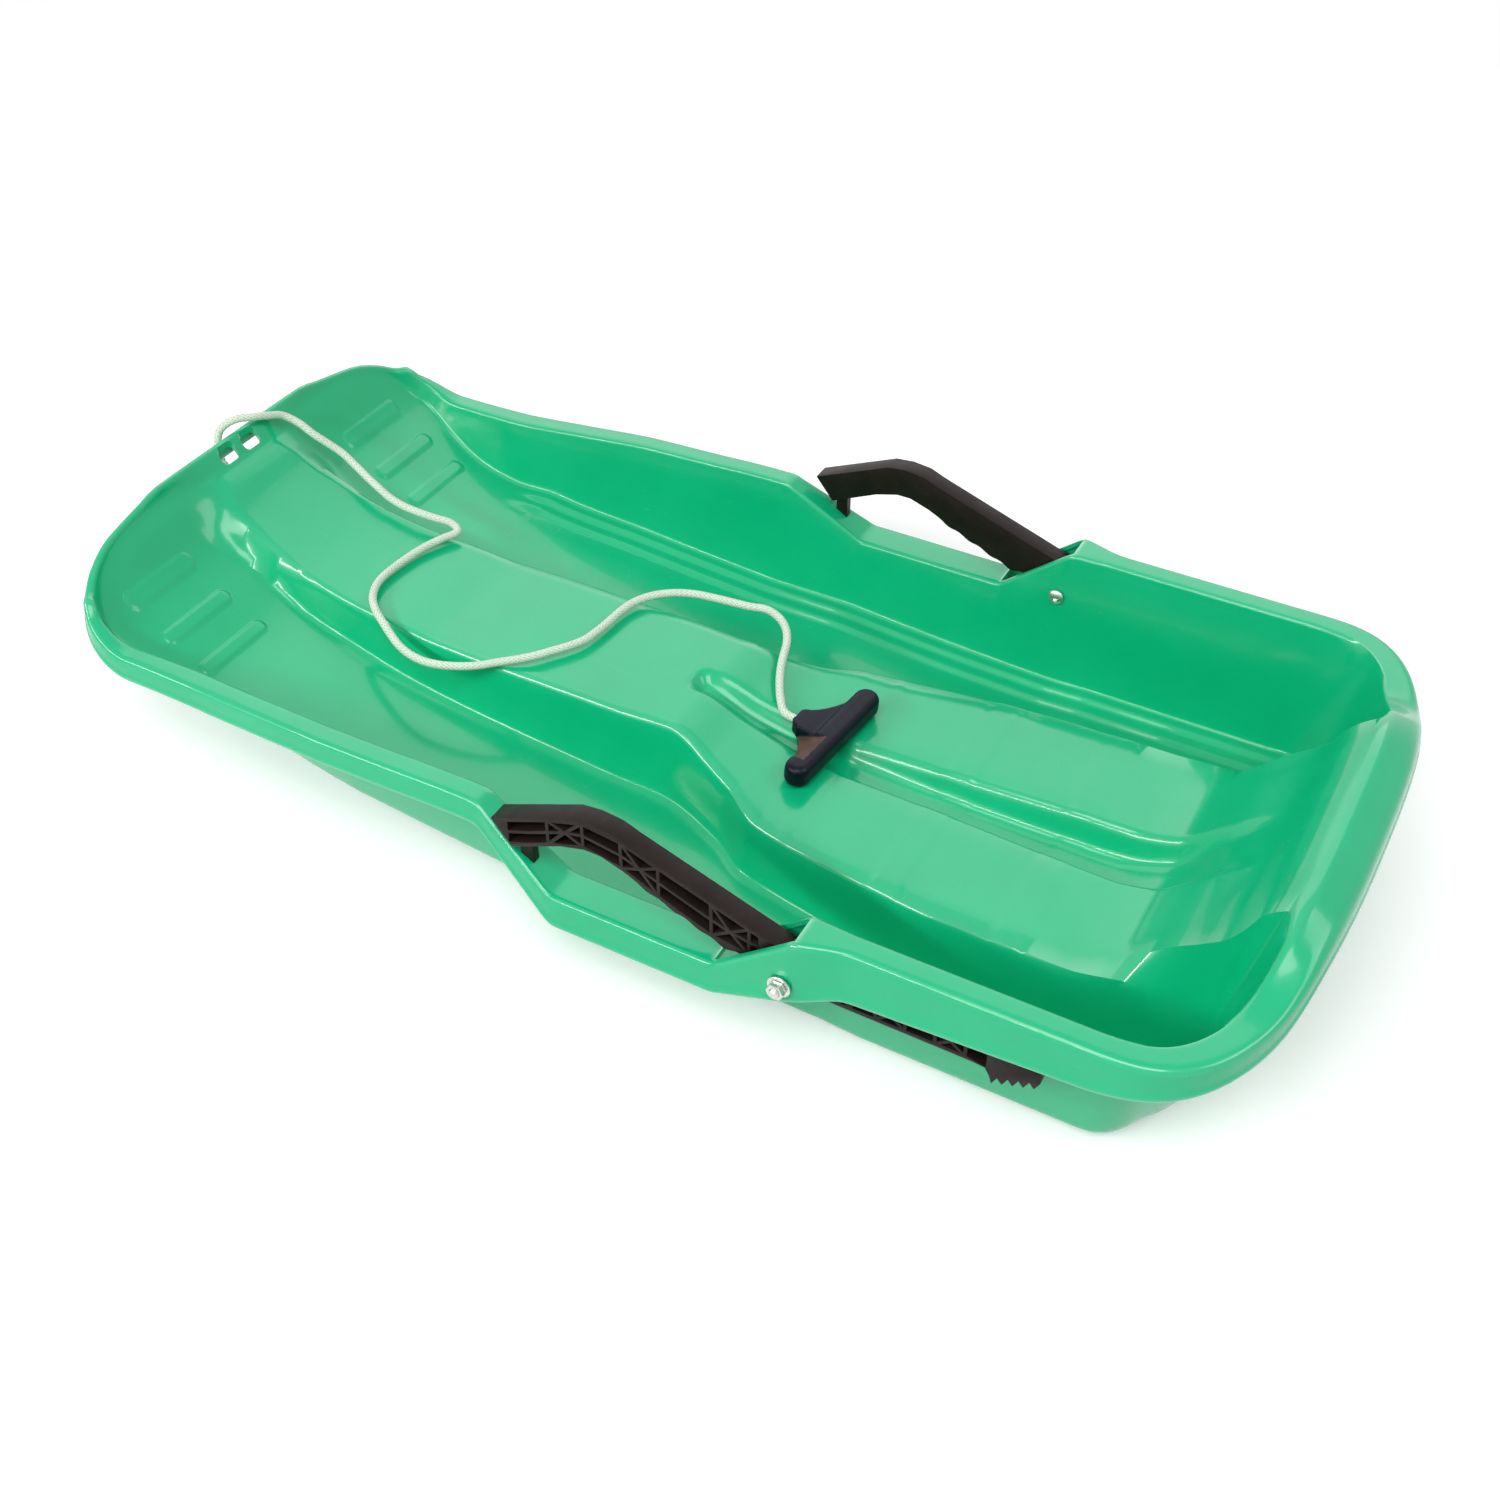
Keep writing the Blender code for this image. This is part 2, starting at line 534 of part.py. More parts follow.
def hull_surface():
    """Top face of the moulding, from the seat out to the skirt's lower edge, open at the lever slots."""
    sides = outline_sides()
    ends = [outline_end(sides[0], False), outline_end(sides[-1], True)]
    rows = floor_rows(sides, ends)
    mesh = bmesh.new()
    grid = {}
    count = len(rows)
    last = len(rows[0]) - 1
    for i, row in enumerate(rows):
        for j, plan in enumerate(row):
            height = floor_height(plan.x, plan.y, row[-1].y)
            for sign in (-1, 1) if j else (1,):
                grid[i, sign * j] = mesh.verts.new((plan.x, plan.y * sign, height))
    for i in range(count - 1):
        for j in range(-last, last):
            mesh.faces.new((grid[i, j], grid[i + 1, j], grid[i + 1, j + 1], grid[i, j + 1]))
    loop = [(grid[i, last], sides[i], 1) for i in range(count)]
    for j in range(last - 1, -last, -1):
        loop.append((grid[count - 1, j], ends[1][abs(j)], 1 if j > 0 else -1))
    loop += [(grid[i, -last], sides[i], -1) for i in range(count - 1, -1, -1)]
    loop += [(grid[0, j], ends[0][abs(j)], 1 if j > 0 else -1) for j in range(-last + 1, last)]
    rings = []
    for foot, pair, sign in loop:
        profile = [mesh.verts.new((place.x, place.y * sign, place.z)) for place in ring_profile(*pair)]
        rings.append([foot] + profile)
    for k, ring in enumerate(rings):
        following = rings[(k + 1) % len(rings)]
        middle = (ring[-1].co.x + following[-1].co.x) / 2
        in_slot = REAR_TOP < middle < REAR_FOOT
        for row in range(len(ring) - 1):
            if in_slot and row == 2:
                continue
            mesh.faces.new((ring[row], following[row], following[row + 1], ring[row + 1]))
    bmesh.ops.recalc_face_normals(mesh, faces=mesh.faces)
    if sum(face.normal.z for face in mesh.faces) < 0:
        bmesh.ops.reverse_faces(mesh, faces=mesh.faces)
    return mesh


# Helpers for closed solids

def material(name, colour, roughness, metallic=0.0):
    mat = bpy.data.materials.new(name)
    mat.use_nodes = True
    shader = mat.node_tree.nodes["Principled BSDF"]
    shader.inputs["Base Color"].default_value = (*colour, 1.0)
    shader.inputs["Roughness"].default_value = roughness
    shader.inputs["Metallic"].default_value = metallic
    return mat


def link(name, mesh, mat=None, origin=None):
    """Object made from a mesh, with its origin moved to a point."""
    origin = origin or Vector((0, 0, 0))
    bmesh.ops.translate(mesh, verts=mesh.verts, vec=-origin)
    data = bpy.data.meshes.new(name)
    mesh.to_mesh(data)
    mesh.free()
    if mat:
        data.materials.append(mat)
    piece = bpy.data.objects.new(name, data)
    piece.location = origin
    bpy.context.scene.collection.objects.link(piece)
    if not mat:
        piece.hide_render = True
        piece.display_type = "WIRE"
    return piece


def combine(piece, tool, operation):
    modifier = piece.modifiers.new(tool.name, "BOOLEAN")
    modifier.operation = operation
    modifier.solver = "EXACT"
    modifier.object = tool


def prism(mesh, outline, low, high, place):
    """Adds a closed prism over an outline; place turns (u, v, depth) into a point."""
    bottom = [mesh.verts.new(place(u, v, low)) for u, v in outline]
    top = [mesh.verts.new(place(u, v, high)) for u, v in outline]
    count = len(outline)
    for i in range(count):
        j = (i + 1) % count
        mesh.faces.new((bottom[i], bottom[j], top[j], top[i]))
    mesh.faces.new(list(reversed(bottom)))
    mesh.faces.new(top)


def closed(mesh):
    bmesh.ops.recalc_face_normals(mesh, faces=mesh.faces)
    return mesh


def circle(radius, sides, turn=0.0):
    step = 2 * math.pi / sides
    return [(radius * math.cos(turn + step * i), radius * math.sin(turn + step * i)) for i in range(sides)]


def stadium(length, width, steps):
    """Outline with round ends, long in its second direction."""
    radius = width / 2
    middle = length / 2 - radius
    outline = []
    for sign in (1, -1):
        for k in range(steps + 1):
            angle = math.pi * k / steps
            outline.append((sign * radius * math.cos(angle), sign * (middle + radius * math.sin(angle))))
    return outline


def at_pivot(x, z, y):
    return Vector((PIVOT_X + x, y, PIVOT_HEIGHT + z))


# Widths of the tub's wall and of the skirt at the pivot

PIVOT_OUTLINE = Vector((PIVOT_X, side_half_width(PIVOT_X)))
PIVOT_RING = ring_profile(PIVOT_OUTLINE, Vector((0, 1)))
PIVOT_FOOT = foot_point(PIVOT_OUTLINE, Vector((0, 1)))


def wall_face(height):
    """Half width of the tub wall's inner face beside the pivot."""
    low = floor_height(PIVOT_X, PIVOT_FOOT.y, PIVOT_FOOT.y)
    share = (height - low) / (PIVOT_RING[0].z - low)
    return PIVOT_FOOT.y + (PIVOT_RING[0].y - PIVOT_FOOT.y) * share


def skirt_face(height):
    """Half width of the skirt's outer face beside the pivot."""
    upper, lower = PIVOT_RING[-2], PIVOT_RING[-1]
    return upper.y + (lower.y - upper.y) * (upper.z - height) / (upper.z - lower.z)


HEAD_FACE = wall_face(PIVOT_HEIGHT - HEAD_RADIUS) - 2 * GAP
WASHER_FACE = skirt_face(PIVOT_HEIGHT - WASHER_RADIUS) + GAP


def foot_ribs():
    """Oblong ribs on both foot slopes, set half the wall's thickness into the floor."""
    mesh = bmesh.new()
    for side in (-1, 1):
        for place in FOOT_RIB_PLACE_SHARES:
            middle = place * HULL_LENGTH
            levels = ((0, -WALL / 2), (0, FOOT_RIB_RISE * 0.4), (FOOT_RIB_RISE * 0.8, FOOT_RIB_RISE))
            rings = []
            for inset, rise in levels:
                ring = []
                for u, v in stadium(FOOT_RIB_LENGTH - 2 * inset, FOOT_RIB_WIDTH - 2 * inset, 5):
                    x = middle + u
                    height = along(x, TROUGH_LINE) + rise
                    ring.append(mesh.verts.new((x, side * (FOOT_RIB_MIDDLE + v), height)))
                rings.append(ring)
            for lower, upper in zip(rings, rings[1:]):
                for k in range(len(lower)):
                    n = (k + 1) % len(lower)
                    mesh.faces.new((lower[k], lower[n], upper[n], upper[k]))
            mesh.faces.new(list(reversed(rings[0])))
            mesh.faces.new(rings[-1])
    bmesh.ops.triangulate(mesh, faces=mesh.faces)
    return closed(mesh)


def add_hull(mat):
    hull = link("hull_shell", hull_surface(), mat)
    shell = hull.modifiers.new("wall", "SOLIDIFY")
    shell.thickness = WALL
    shell.offset = -1
    shell.use_even_offset = True
    shell.use_quality_normals = True
    combine(hull, link("foot_ribs", foot_ribs()), "UNION")
    holes = bmesh.new()
    for side in (-1, 1):
        depths = sorted((side * (HEAD_FACE - HEAD_DEPTH), side * (WASHER_FACE + WASHER_DEPTH)))
        prism(holes, circle(BORE_RADIUS, 16), *depths, at_pivot)
        outline = stadium(ROPE_HOLE_LENGTH, ROPE_HOLE_WIDTH, 6)

        def through_nose(x, y, z):
            return Vector((HALF_LENGTH - ROPE_HOLE_BACK + x, side * ROPE_HOLE_PITCH / 2 + y, z))

        prism(holes, outline, NOSE_HEIGHT / 2, NOSE_HEIGHT * 2, through_nose)
    combine(hull, link("bolt_and_rope_holes", closed(holes)), "DIFFERENCE")


# Brake levers, drawn from the pivot: u forward, v up

GRIP_TOP = [(u * GRIP_LENGTH, v * GRIP_RISE) for u, v in GRIP_TOP_SHARES]
GRIP_BOTTOM = [(u * GRIP_LENGTH, v * GRIP_RISE) for u, v in GRIP_BOTTOM_SHARES]
ARM_TOP = [(u * ARM_LENGTH, v * ARM_LENGTH) for u, v in ARM_TOP_SHARES]
ARM_BOTTOM = [(u * ARM_LENGTH, v * ARM_LENGTH) for u, v in ARM_BOTTOM_SHARES]


def grip_outline():
    """Side view of the grip: raked tip, bent top and finger waves below."""
    start, end = (share * GRIP_LENGTH for share in WAVE_SPAN_SHARES)
    bottom = []
    count = GRIP_WAVES * 6
    for k in range(count + 1):
        u = start + (end - start) * k / count
        wave = WAVE_DEPTH * (1 - math.cos(2 * math.pi * GRIP_WAVES * k / count)) / 2
        bottom.append((u, linear(u, GRIP_BOTTOM) - wave))
    bottom += [point for point in GRIP_BOTTOM if point[0] > end]
    behind = [(-BOSS_RADIUS * 0.4, 0), (0, -BOSS_RADIUS * 0.5), (BOSS_RADIUS * 0.9, -BOSS_RADIUS * 0.4)]
    return GRIP_TOP + behind + bottom


def arm_outline():
    """Side view of the arm: straight bar, then a deeper claw with pointed teeth."""
    (u0, v0), (u1, v1) = [(u * ARM_LENGTH, v * ARM_LENGTH) for u, v in CLAW_SHARES]
    teeth = []
    for k in range(2 * CLAW_TEETH):
        share = k / (2 * CLAW_TEETH - 1)
        up = 0 if k % 2 else TOOTH_DEPTH
        teeth.append((u0 + (u1 - u0) * share, v0 + (v1 - v0) * share - TOOTH_DEPTH / 2 + up))
    return ARM_TOP + teeth + ARM_BOTTOM + [(0, -BOSS_RADIUS * 0.4)]


def shrink(outline, distance):
    """Outline with each side moved inward by a distance."""
    count = len(outline)
    area = sum(a[0] * b[1] - b[0] * a[1] for a, b in zip(outline, outline[1:] + outline[:1]))
    turn = 1 if area > 0 else -1
    result = []
    for i in range(count):
        before, here, after = (Vector(outline[(i + k) % count]) for k in (-1, 0, 1))
        first = (here - before).normalized()
        second = (after - here).normalized()
        n1 = Vector((-first.y, first.x)) * turn
        n2 = Vector((-second.y, second.x)) * turn
        half = n1 + n2
        result.append(tuple(here + half * (distance * 2 / half.length_squared)))
    return result


def pockets(top, bottom, ends, crosses, reach, mid_rib):
    """Outlines of the pockets between the ribs of a channel, given its upper and lower lines as functions."""
    skin = LEVER_SKIN - LEVER_RIB / 2

    def upper(u):
        return top(u) - skin

    def lower(u):
        return bottom(u) + skin

    def middle(u):
        return (upper(u) + lower(u)) / 2

    def run(line, start, end):
        steps = max(1, round(abs(end - start) / (2 * EAR_RIM_WIDTH) * 3))
        places = [start + (end - start) * k / steps for k in range(steps + 1)]
        return [(place, line(place)) for place in places]

    found = []
    edges = [ends[0]]
    for cross in sorted(crosses):
        left, right = cross - reach, cross + reach
        edges += [left, right]
        centre = (cross, middle(cross))
        halves = ((upper, middle), (middle, lower)) if mid_rib else ()
        for high, low in halves:
            outer = high if high is upper else low
            found.append([(left, outer(left)), centre, (right, outer(right))])
            for side in (left, right):
                found.append([(side, outer(side)), centre, (side, middle(side))])
        if not mid_rib:
            found.append([(left, upper(left)), centre, (right, upper(right))])
            found.append([(left, lower(left)), centre, (right, lower(right))])
            for side in (left, right):
                found.append([(side, upper(side)), centre, (side, lower(side))])
    edges.append(ends[1])
    for start, end in zip(edges[::2], edges[1::2]):
        if mid_rib:
            found.append(run(upper, start, end) + run(middle, end, start))
            found.append(run(middle, start, end) + run(lower, end, start))
        else:
            found.append(run(upper, start, end) + run(lower, end, start))
    return [shrink(outline, LEVER_RIB / 2) for outline in found]


def add_lever(name, side, mat):
    """One brake lever: grip, claw arm and boss in one moulding, ribbed on its outboard face."""
    origin = Vector((PIVOT_X, side * (BOSS_INNER + BOSS_WIDTH / 2), PIVOT_HEIGHT))

    def solid(tool, outline, inner, width):
        mesh = bmesh.new()
        prism(mesh, outline, *sorted((side * inner, side * (inner + width))), at_pivot)
        return link(name + tool, closed(mesh), origin=origin)

    mesh = bmesh.new()
    depths = sorted((side * GRIP_INNER, side * (GRIP_INNER + GRIP_WIDTH)))
    prism(mesh, grip_outline(), *depths, at_pivot)
    lever = link(name, closed(mesh), mat, origin)
    combine(lever, solid("_arm", arm_outline(), ARM_INNER, ARM_WIDTH), "UNION")
    tip = GRIP_BOTTOM[-1]
    foot = tip[0] - REST_LENGTH / 4
    slope = (NOTCH_LINE[3][1] - NOTCH_LINE[2][1]) / (NOTCH_LINE[3][0] - NOTCH_LINE[2][0])

    def ramp(u):
        rim = NOTCH_HEIGHT + slope * (PIVOT_X + u - NOTCH_FRONT_FOOT)
        return rim + EDGE_ROUND * RIM_RING_SHARES[1][1] + 2 * GAP - PIVOT_HEIGHT

    heel = foot - REST_LENGTH
    rest = [(foot, ramp(foot)), (foot, tip[1] + LEVER_SKIN / 2)]
    rest += [(heel, tip[1] + 2 * LEVER_SKIN), (heel, ramp(heel))]
    combine(lever, solid("_rest", rest, GRIP_INNER + LEVER_WEB, REST_WIDTH), "UNION")
    combine(lever, solid("_boss", circle(BOSS_RADIUS, 32, math.pi / 32), BOSS_INNER, BOSS_WIDTH), "UNION")
    cuts = bmesh.new()
    grip_top = sorted(GRIP_TOP)
    reach = GRIP_CROSS_REACH_SHARE * GRIP_LENGTH
    crosses = [share * GRIP_LENGTH for share in GRIP_CROSS_SHARES]
    ends = [share * GRIP_LENGTH for share in GRIP_POCKET_SHARES]

    def grip_upper(u):
        return linear(u, grip_top)

    def grip_lower(u):
        return linear(u, GRIP_BOTTOM)

    depths = sorted((side * (GRIP_INNER + LEVER_WEB), side * (GRIP_INNER + GRIP_WIDTH + LEVER_WEB)))
    for outline in pockets(grip_upper, grip_lower, ends, crosses, reach, True):
        prism(cuts, outline, *depths, at_pivot)
    arm_top = sorted(ARM_TOP)
    arm_bottom = sorted(ARM_BOTTOM)
    reach = ARM_CROSS_REACH_SHARE * ARM_LENGTH
    crosses = [share * ARM_LENGTH for share in ARM_CROSS_SHARES]
    ends = [share * ARM_LENGTH for share in ARM_POCKET_SHARES]

    def arm_upper(u):
        return linear(u, arm_top)

    def arm_lower(u):
        return linear(u, arm_bottom)

    depths = sorted((side * (ARM_INNER + LEVER_WEB), side * (ARM_INNER + ARM_WIDTH + LEVER_WEB)))
    for outline in pockets(arm_upper, arm_lower, ends, crosses, reach, False):
        prism(cuts, outline, *depths, at_pivot)
    combine(lever, link(name + "_pockets", closed(cuts), origin=origin), "DIFFERENCE")
    bore = solid("_bore", circle(BORE_RADIUS, 16), BOSS_INNER - LEVER_WEB, BOSS_WIDTH + 2 * LEVER_WEB)
    combine(lever, bore, "DIFFERENCE")
    return lever


def turned(profile, sides, side):
    """Solid turned about the pivot's axis from (radius, depth) points that start and end on the axis."""
    mesh = bmesh.new()
    rings = []
    for radius, depth in profile:
        if radius == 0:
            rings.append([mesh.verts.new(at_pivot(0, 0, side * depth))])
        else:
            rings.append([mesh.verts.new(at_pivot(u, v, side * depth)) for u, v in circle(radius, sides)])
    for a, b in zip(rings, rings[1:]):
        for k in range(sides):
            n = (k + 1) % sides
            corners = [a[k % len(a)], a[n % len(a)], b[n % len(b)], b[k % len(b)]]
            unique = list(dict.fromkeys(corners))
            mesh.faces.new(unique)
    return closed(mesh)


def add_fasteners(label, side, steel):
    """Bolt with its head in the tub, washer and nut outside the skirt."""
    origin = Vector((PIVOT_X, side * HEAD_FACE, PIVOT_HEIGHT))
    nut_end = WASHER_FACE + WASHER_DEPTH + 2 * GAP + NUT_DEPTH
    end = nut_end + BOLT_END
    crown = HEAD_FACE - HEAD_DEPTH
    profile = [
        (0, crown + HEAD_DEPTH * 0.55),
        (HEX_SOCKET_RADIUS, crown + HEAD_DEPTH * 0.55),
        (HEX_SOCKET_RADIUS, crown),
        (HEAD_RADIUS * 0.7, crown),
        (HEAD_RADIUS * 0.93, crown + HEAD_DEPTH * 0.35),
        (HEAD_RADIUS, HEAD_FACE),
        (BOLT_RADIUS, HEAD_FACE),
        (BOLT_RADIUS, end - BOLT_RADIUS / 3),
        (BOLT_RADIUS * 0.75, end),
        (0, end),
    ]
    bolt = link("pivot_bolt_" + label, turned(profile, 18, side), steel, origin)
    bolt.data.shade_smooth()
    bolt.data.set_sharp_from_angle(angle=math.radians(35))
    washer = bmesh.new()
    depths = (WASHER_FACE, WASHER_FACE + WASHER_DEPTH)
    add_ring(washer, circle(WASHER_RADIUS, 24), circle(BORE_RADIUS, 24), depths, side)
    place = origin + Vector((0, side * (WASHER_FACE - HEAD_FACE), 0))
    link("pivot_washer_" + label, closed(washer), steel, place)
    nut = bmesh.new()
    depths = (WASHER_FACE + WASHER_DEPTH + GAP, nut_end)
    hexagon = []
    corners = circle(NUT_RADIUS, 6)
    for a, b in zip(corners, corners[1:] + corners[:1]):
        hexagon += [(a[0] + (b[0] - a[0]) * k / 3, a[1] + (b[1] - a[1]) * k / 3) for k in range(3)]
    add_ring(nut, hexagon, circle(BORE_RADIUS, 18), depths, side)
    place = origin + Vector((0, side * (depths[0] - HEAD_FACE), 0))
    link("pivot_nut_" + label, closed(nut), steel, place)


def add_ring(mesh, outer, inner, depths, side):
    """Adds a flat ring between an outer and an inner outline of equal point counts."""
    count = len(outer)
    loops = []
    for outline in (outer, inner):
        for depth in depths:
            loops.append([mesh.verts.new(at_pivot(u, v, side * depth)) for u, v in outline])
    outer_low, outer_high, inner_low, inner_high = loops
    around = [outer_low, outer_high, inner_high, inner_low, outer_low]
    for a, b in zip(around, around[1:]):
        for k in range(count):
            n = (k + 1) % count
            mesh.faces.new((a[k], a[n], b[n], b[k]))


# Tow rope, its knot and its handle

HANDLE_LEVEL = Vector((math.cos(HANDLE_TURN), math.sin(HANDLE_TURN), 0))
HANDLE_ACROSS = Vector((-HANDLE_LEVEL.y, HANDLE_LEVEL.x, 0))
HANDLE_FORWARD = HANDLE_LEVEL * math.cos(HANDLE_TILT) + Vector((0, 0, math.sin(HANDLE_TILT)))
HANDLE_UP = HANDLE_FORWARD.cross(HANDLE_ACROSS)
NECK_RAISE = RECESS_DEPTH / 2


def handle_centre():
    """Middle of the handle's bar, just clear of the seat under its whole flat side."""
    level = Vector((HANDLE_X, HANDLE_Y, 0))
    height = 0
    for u, v in shrink(stadium(HANDLE_LENGTH, HANDLE_WIDTH, 6), HANDLE_RADIUS):
        under = level + HANDLE_FORWARD * u + HANDLE_ACROSS * v - HANDLE_UP * (HANDLE_THICKNESS / 2)
        height = max(height, body_height(under.x) + 2 * GAP - under.z)
    return level + Vector((0, 0, height))


HANDLE_CENTRE = handle_centre()


def in_handle(u, v, depth):
    return HANDLE_CENTRE + HANDLE_FORWARD * u + HANDLE_ACROSS * v + HANDLE_UP * depth


def add_handle(mat):
    """T handle: a round-edged bar with a neck that takes the rope."""
    outline = stadium(HANDLE_LENGTH, HANDLE_WIDTH, 6)
    half = HANDLE_THICKNESS / 2
    mesh = bmesh.new()
    rings = []
    corner = HANDLE_RADIUS * 0.3
    levels = [(HANDLE_RADIUS, -half), (corner, -half + corner), (0, -half + HANDLE_RADIUS)]
    levels += [(inset, -depth) for inset, depth in reversed(levels)]
    for inset, depth in levels:
        rings.append([mesh.verts.new(in_handle(u, v, depth)) for u, v in shrink(outline, inset)])
    for lower, upper in zip(rings, rings[1:]):
        for k in range(len(lower)):
            n = (k + 1) % len(lower)
            mesh.faces.new((lower[k], lower[n], upper[n], upper[k]))
    mesh.faces.new(list(reversed(rings[0])))
    mesh.faces.new(rings[-1])
    handle = link("tow_handle", closed(mesh), mat, HANDLE_CENTRE)
    front = HANDLE_WIDTH / 2 + NECK_LENGTH
    low, high = NECK_RAISE - NECK_THICKNESS / 2, NECK_RAISE + NECK_THICKNESS / 2
    base = HANDLE_WIDTH * 0.35
    neck = [(base + (front - base) * reach, -NECK_WIDTH * half) for reach, half in NECK_SHARES]
    neck += [(u, -v) for u, v in reversed(neck)]
    mesh = bmesh.new()
    prism(mesh, neck, low, high, in_handle)
    combine(handle, link("tow_handle_neck", closed(mesh), origin=HANDLE_CENTRE), "UNION")
    mesh = bmesh.new()

    def along_neck(v, z, u):
        return in_handle(u, v, NECK_RAISE + z)

    socket = front - ROPE_SOCKET_DEPTH
    prism(mesh, circle(ROPE_DIAMETER / 2 + GAP, 12), socket, front + NECK_LENGTH, along_neck)
    spread = HANDLE_LENGTH * 0.2
    recess = [(-HANDLE_WIDTH * 0.3, -spread), (HANDLE_WIDTH * 0.3, -spread)]
    recess += [(HANDLE_WIDTH * 0.3, spread), (-HANDLE_WIDTH * 0.3, spread)]
    prism(mesh, recess, half - RECESS_DEPTH, half + RECESS_DEPTH, in_handle)
    combine(handle, link("tow_handle_hollows", closed(mesh), origin=HANDLE_CENTRE), "DIFFERENCE")


def nose_place(shares):
    place, across, height = shares
    return Vector((place * HULL_LENGTH, across * NOSE_HALF_WIDTH, height * NOSE_HEIGHT))


def rope_route():
    """Hand-laid points of the rope's middle line, from the nose to the inside of the handle's neck."""
    laid = [nose_place(shares) for shares in ROPE_ROUTE_SHARES]
    knot = nose_place(KNOT_SHARES)
    route = [knot + (laid[0] - knot).normalized() * (KNOT_RADIUS + 4 * GAP)] + laid
    front = HANDLE_WIDTH / 2 + NECK_LENGTH
    for u in (front + ROPE_DIAMETER, front - ROPE_SOCKET_DEPTH / 2):
        route.append(in_handle(u, 0, NECK_RAISE))
    route.append(in_handle(front - ROPE_SOCKET_DEPTH + GAP, 0, NECK_RAISE))
    return route


def even_points(route, step):
    """Evenly spaced points on a smooth curve through the route's points."""
    fine = []
    for i in range(len(route) - 1):
        p0 = route[max(i - 1, 0)]
        p1, p2 = route[i], route[i + 1]
        p3 = route[min(i + 2, len(route) - 1)]
        for k in range(16):
            t = k / 16
            a = p1 * 2 + (p2 - p0) * t
            b = (p0 * 2 - p1 * 5 + p2 * 4 - p3) * t**2
            c = (p1 * 3 - p0 - p2 * 3 + p3) * t**3
            fine.append((a + b + c) / 2)
    fine.append(route[-1])
    lengths = [0.0]
    for a, b in zip(fine, fine[1:]):
        lengths.append(lengths[-1] + (b - a).length)
    count = round(lengths[-1] / step)
    points = []
    k = 0
    for i in range(count + 1):
        target = lengths[-1] * i / count
        while k < len(fine) - 2 and lengths[k + 1] < target:
            k += 1
        share = (target - lengths[k]) / (lengths[k + 1] - lengths[k])
        points.append(fine[k].lerp(fine[k + 1], clamp(share)))
    return points


def add_rope(mat):
    points = even_points(rope_route(), ROPE_STEP)
    curve = bpy.data.curves.new("tow_rope", "CURVE")
    curve.dimensions = "3D"
    curve.bevel_depth = ROPE_DIAMETER / 2
    curve.bevel_resolution = 3
    curve.use_fill_caps = True
    spline = curve.splines.new("POLY")
    spline.points.add(len(points) - 1)
    for point, place in zip(spline.points, points):
        point.co = (*place, 1.0)
    curve.materials.append(mat)
    bpy.context.scene.collection.objects.link(bpy.data.objects.new("tow_rope", curve))


def add_knot(mat):
    centre = nose_place(KNOT_SHARES)
    mesh = bmesh.new()
    bmesh.ops.create_icosphere(mesh, subdivisions=2, radius=KNOT_RADIUS)
    bmesh.ops.translate(mesh, verts=mesh.verts, vec=centre)
    link("nose_knot", closed(mesh), mat, centre)


def main():
    clear_scene()
    green = material("green moulding", (0.01, 0.42, 0.2), 0.25)
    black = material("black moulding", (0.02, 0.018, 0.02), 0.45)
    navy = material("navy moulding", (0.018, 0.018, 0.035), 0.4)
    steel = material("plated steel", (0.6, 0.6, 0.58), 0.3, 1.0)
    cord = material("braided cord", (0.72, 0.8, 0.68), 0.8)
    add_hull(green)
    for label, side in (("left", 1), ("right", -1)):
        add_lever("brake_lever_" + label, side, black)
        add_fasteners(label, side, steel)
    add_handle(navy)
    add_rope(cord)
    add_knot(cord)


main()
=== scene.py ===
"""Dressed scene of a moulded toboggan with two brake levers, a tow rope and a T handle.

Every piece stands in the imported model's frame, in metres. +X points to the nose, +Y to the rider's left.
"""

import math

import bmesh
import bpy
import numpy as np
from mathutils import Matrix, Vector


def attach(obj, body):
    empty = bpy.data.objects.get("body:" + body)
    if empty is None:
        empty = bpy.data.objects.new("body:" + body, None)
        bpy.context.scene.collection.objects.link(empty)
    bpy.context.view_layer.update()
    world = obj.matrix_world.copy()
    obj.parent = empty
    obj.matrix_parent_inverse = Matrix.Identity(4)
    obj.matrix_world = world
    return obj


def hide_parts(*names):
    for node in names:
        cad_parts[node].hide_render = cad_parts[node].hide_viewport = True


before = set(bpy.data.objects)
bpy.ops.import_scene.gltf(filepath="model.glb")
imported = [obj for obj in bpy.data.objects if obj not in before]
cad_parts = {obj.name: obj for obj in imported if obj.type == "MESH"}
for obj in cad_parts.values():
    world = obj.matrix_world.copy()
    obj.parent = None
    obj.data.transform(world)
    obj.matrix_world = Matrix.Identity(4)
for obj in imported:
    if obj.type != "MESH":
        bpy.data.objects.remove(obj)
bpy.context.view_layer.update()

MM = 0.001

# Hull, overall
HULL_LENGTH = 869 * MM
WALL = 3 * MM
REAR_HALF_WIDTH = 220 * MM
EAR_HALF_WIDTH = 229 * MM
FRONT_HALF_WIDTH = 212 * MM
NOSE_HALF_WIDTH = 200 * MM
NOSE_CURVE_LENGTH = 91 * MM
TAIL_CURVE_LENGTH = 96 * MM
RIM_HEIGHT = 111 * MM
NOTCH_HEIGHT = 68 * MM
NOSE_HEIGHT = 144 * MM
TAIL_HEIGHT = 142 * MM
TAIL_EDGE_HEIGHT = 131 * MM
RIM_WIDTH = 17 * MM
EAR_RIM_WIDTH = 27.5 * MM
TAIL_RIM_WIDTH = 22 * MM
RIM_CROWN = 0.99 * MM
SKIRT_FLARE = 1.5 * MM
WALL_RUN = 15 * MM
TAIL_WALL_RUN = 26 * MM
TAIL_MIDDLE_RUN = 12 * MM
LIP_RUN = 9 * MM

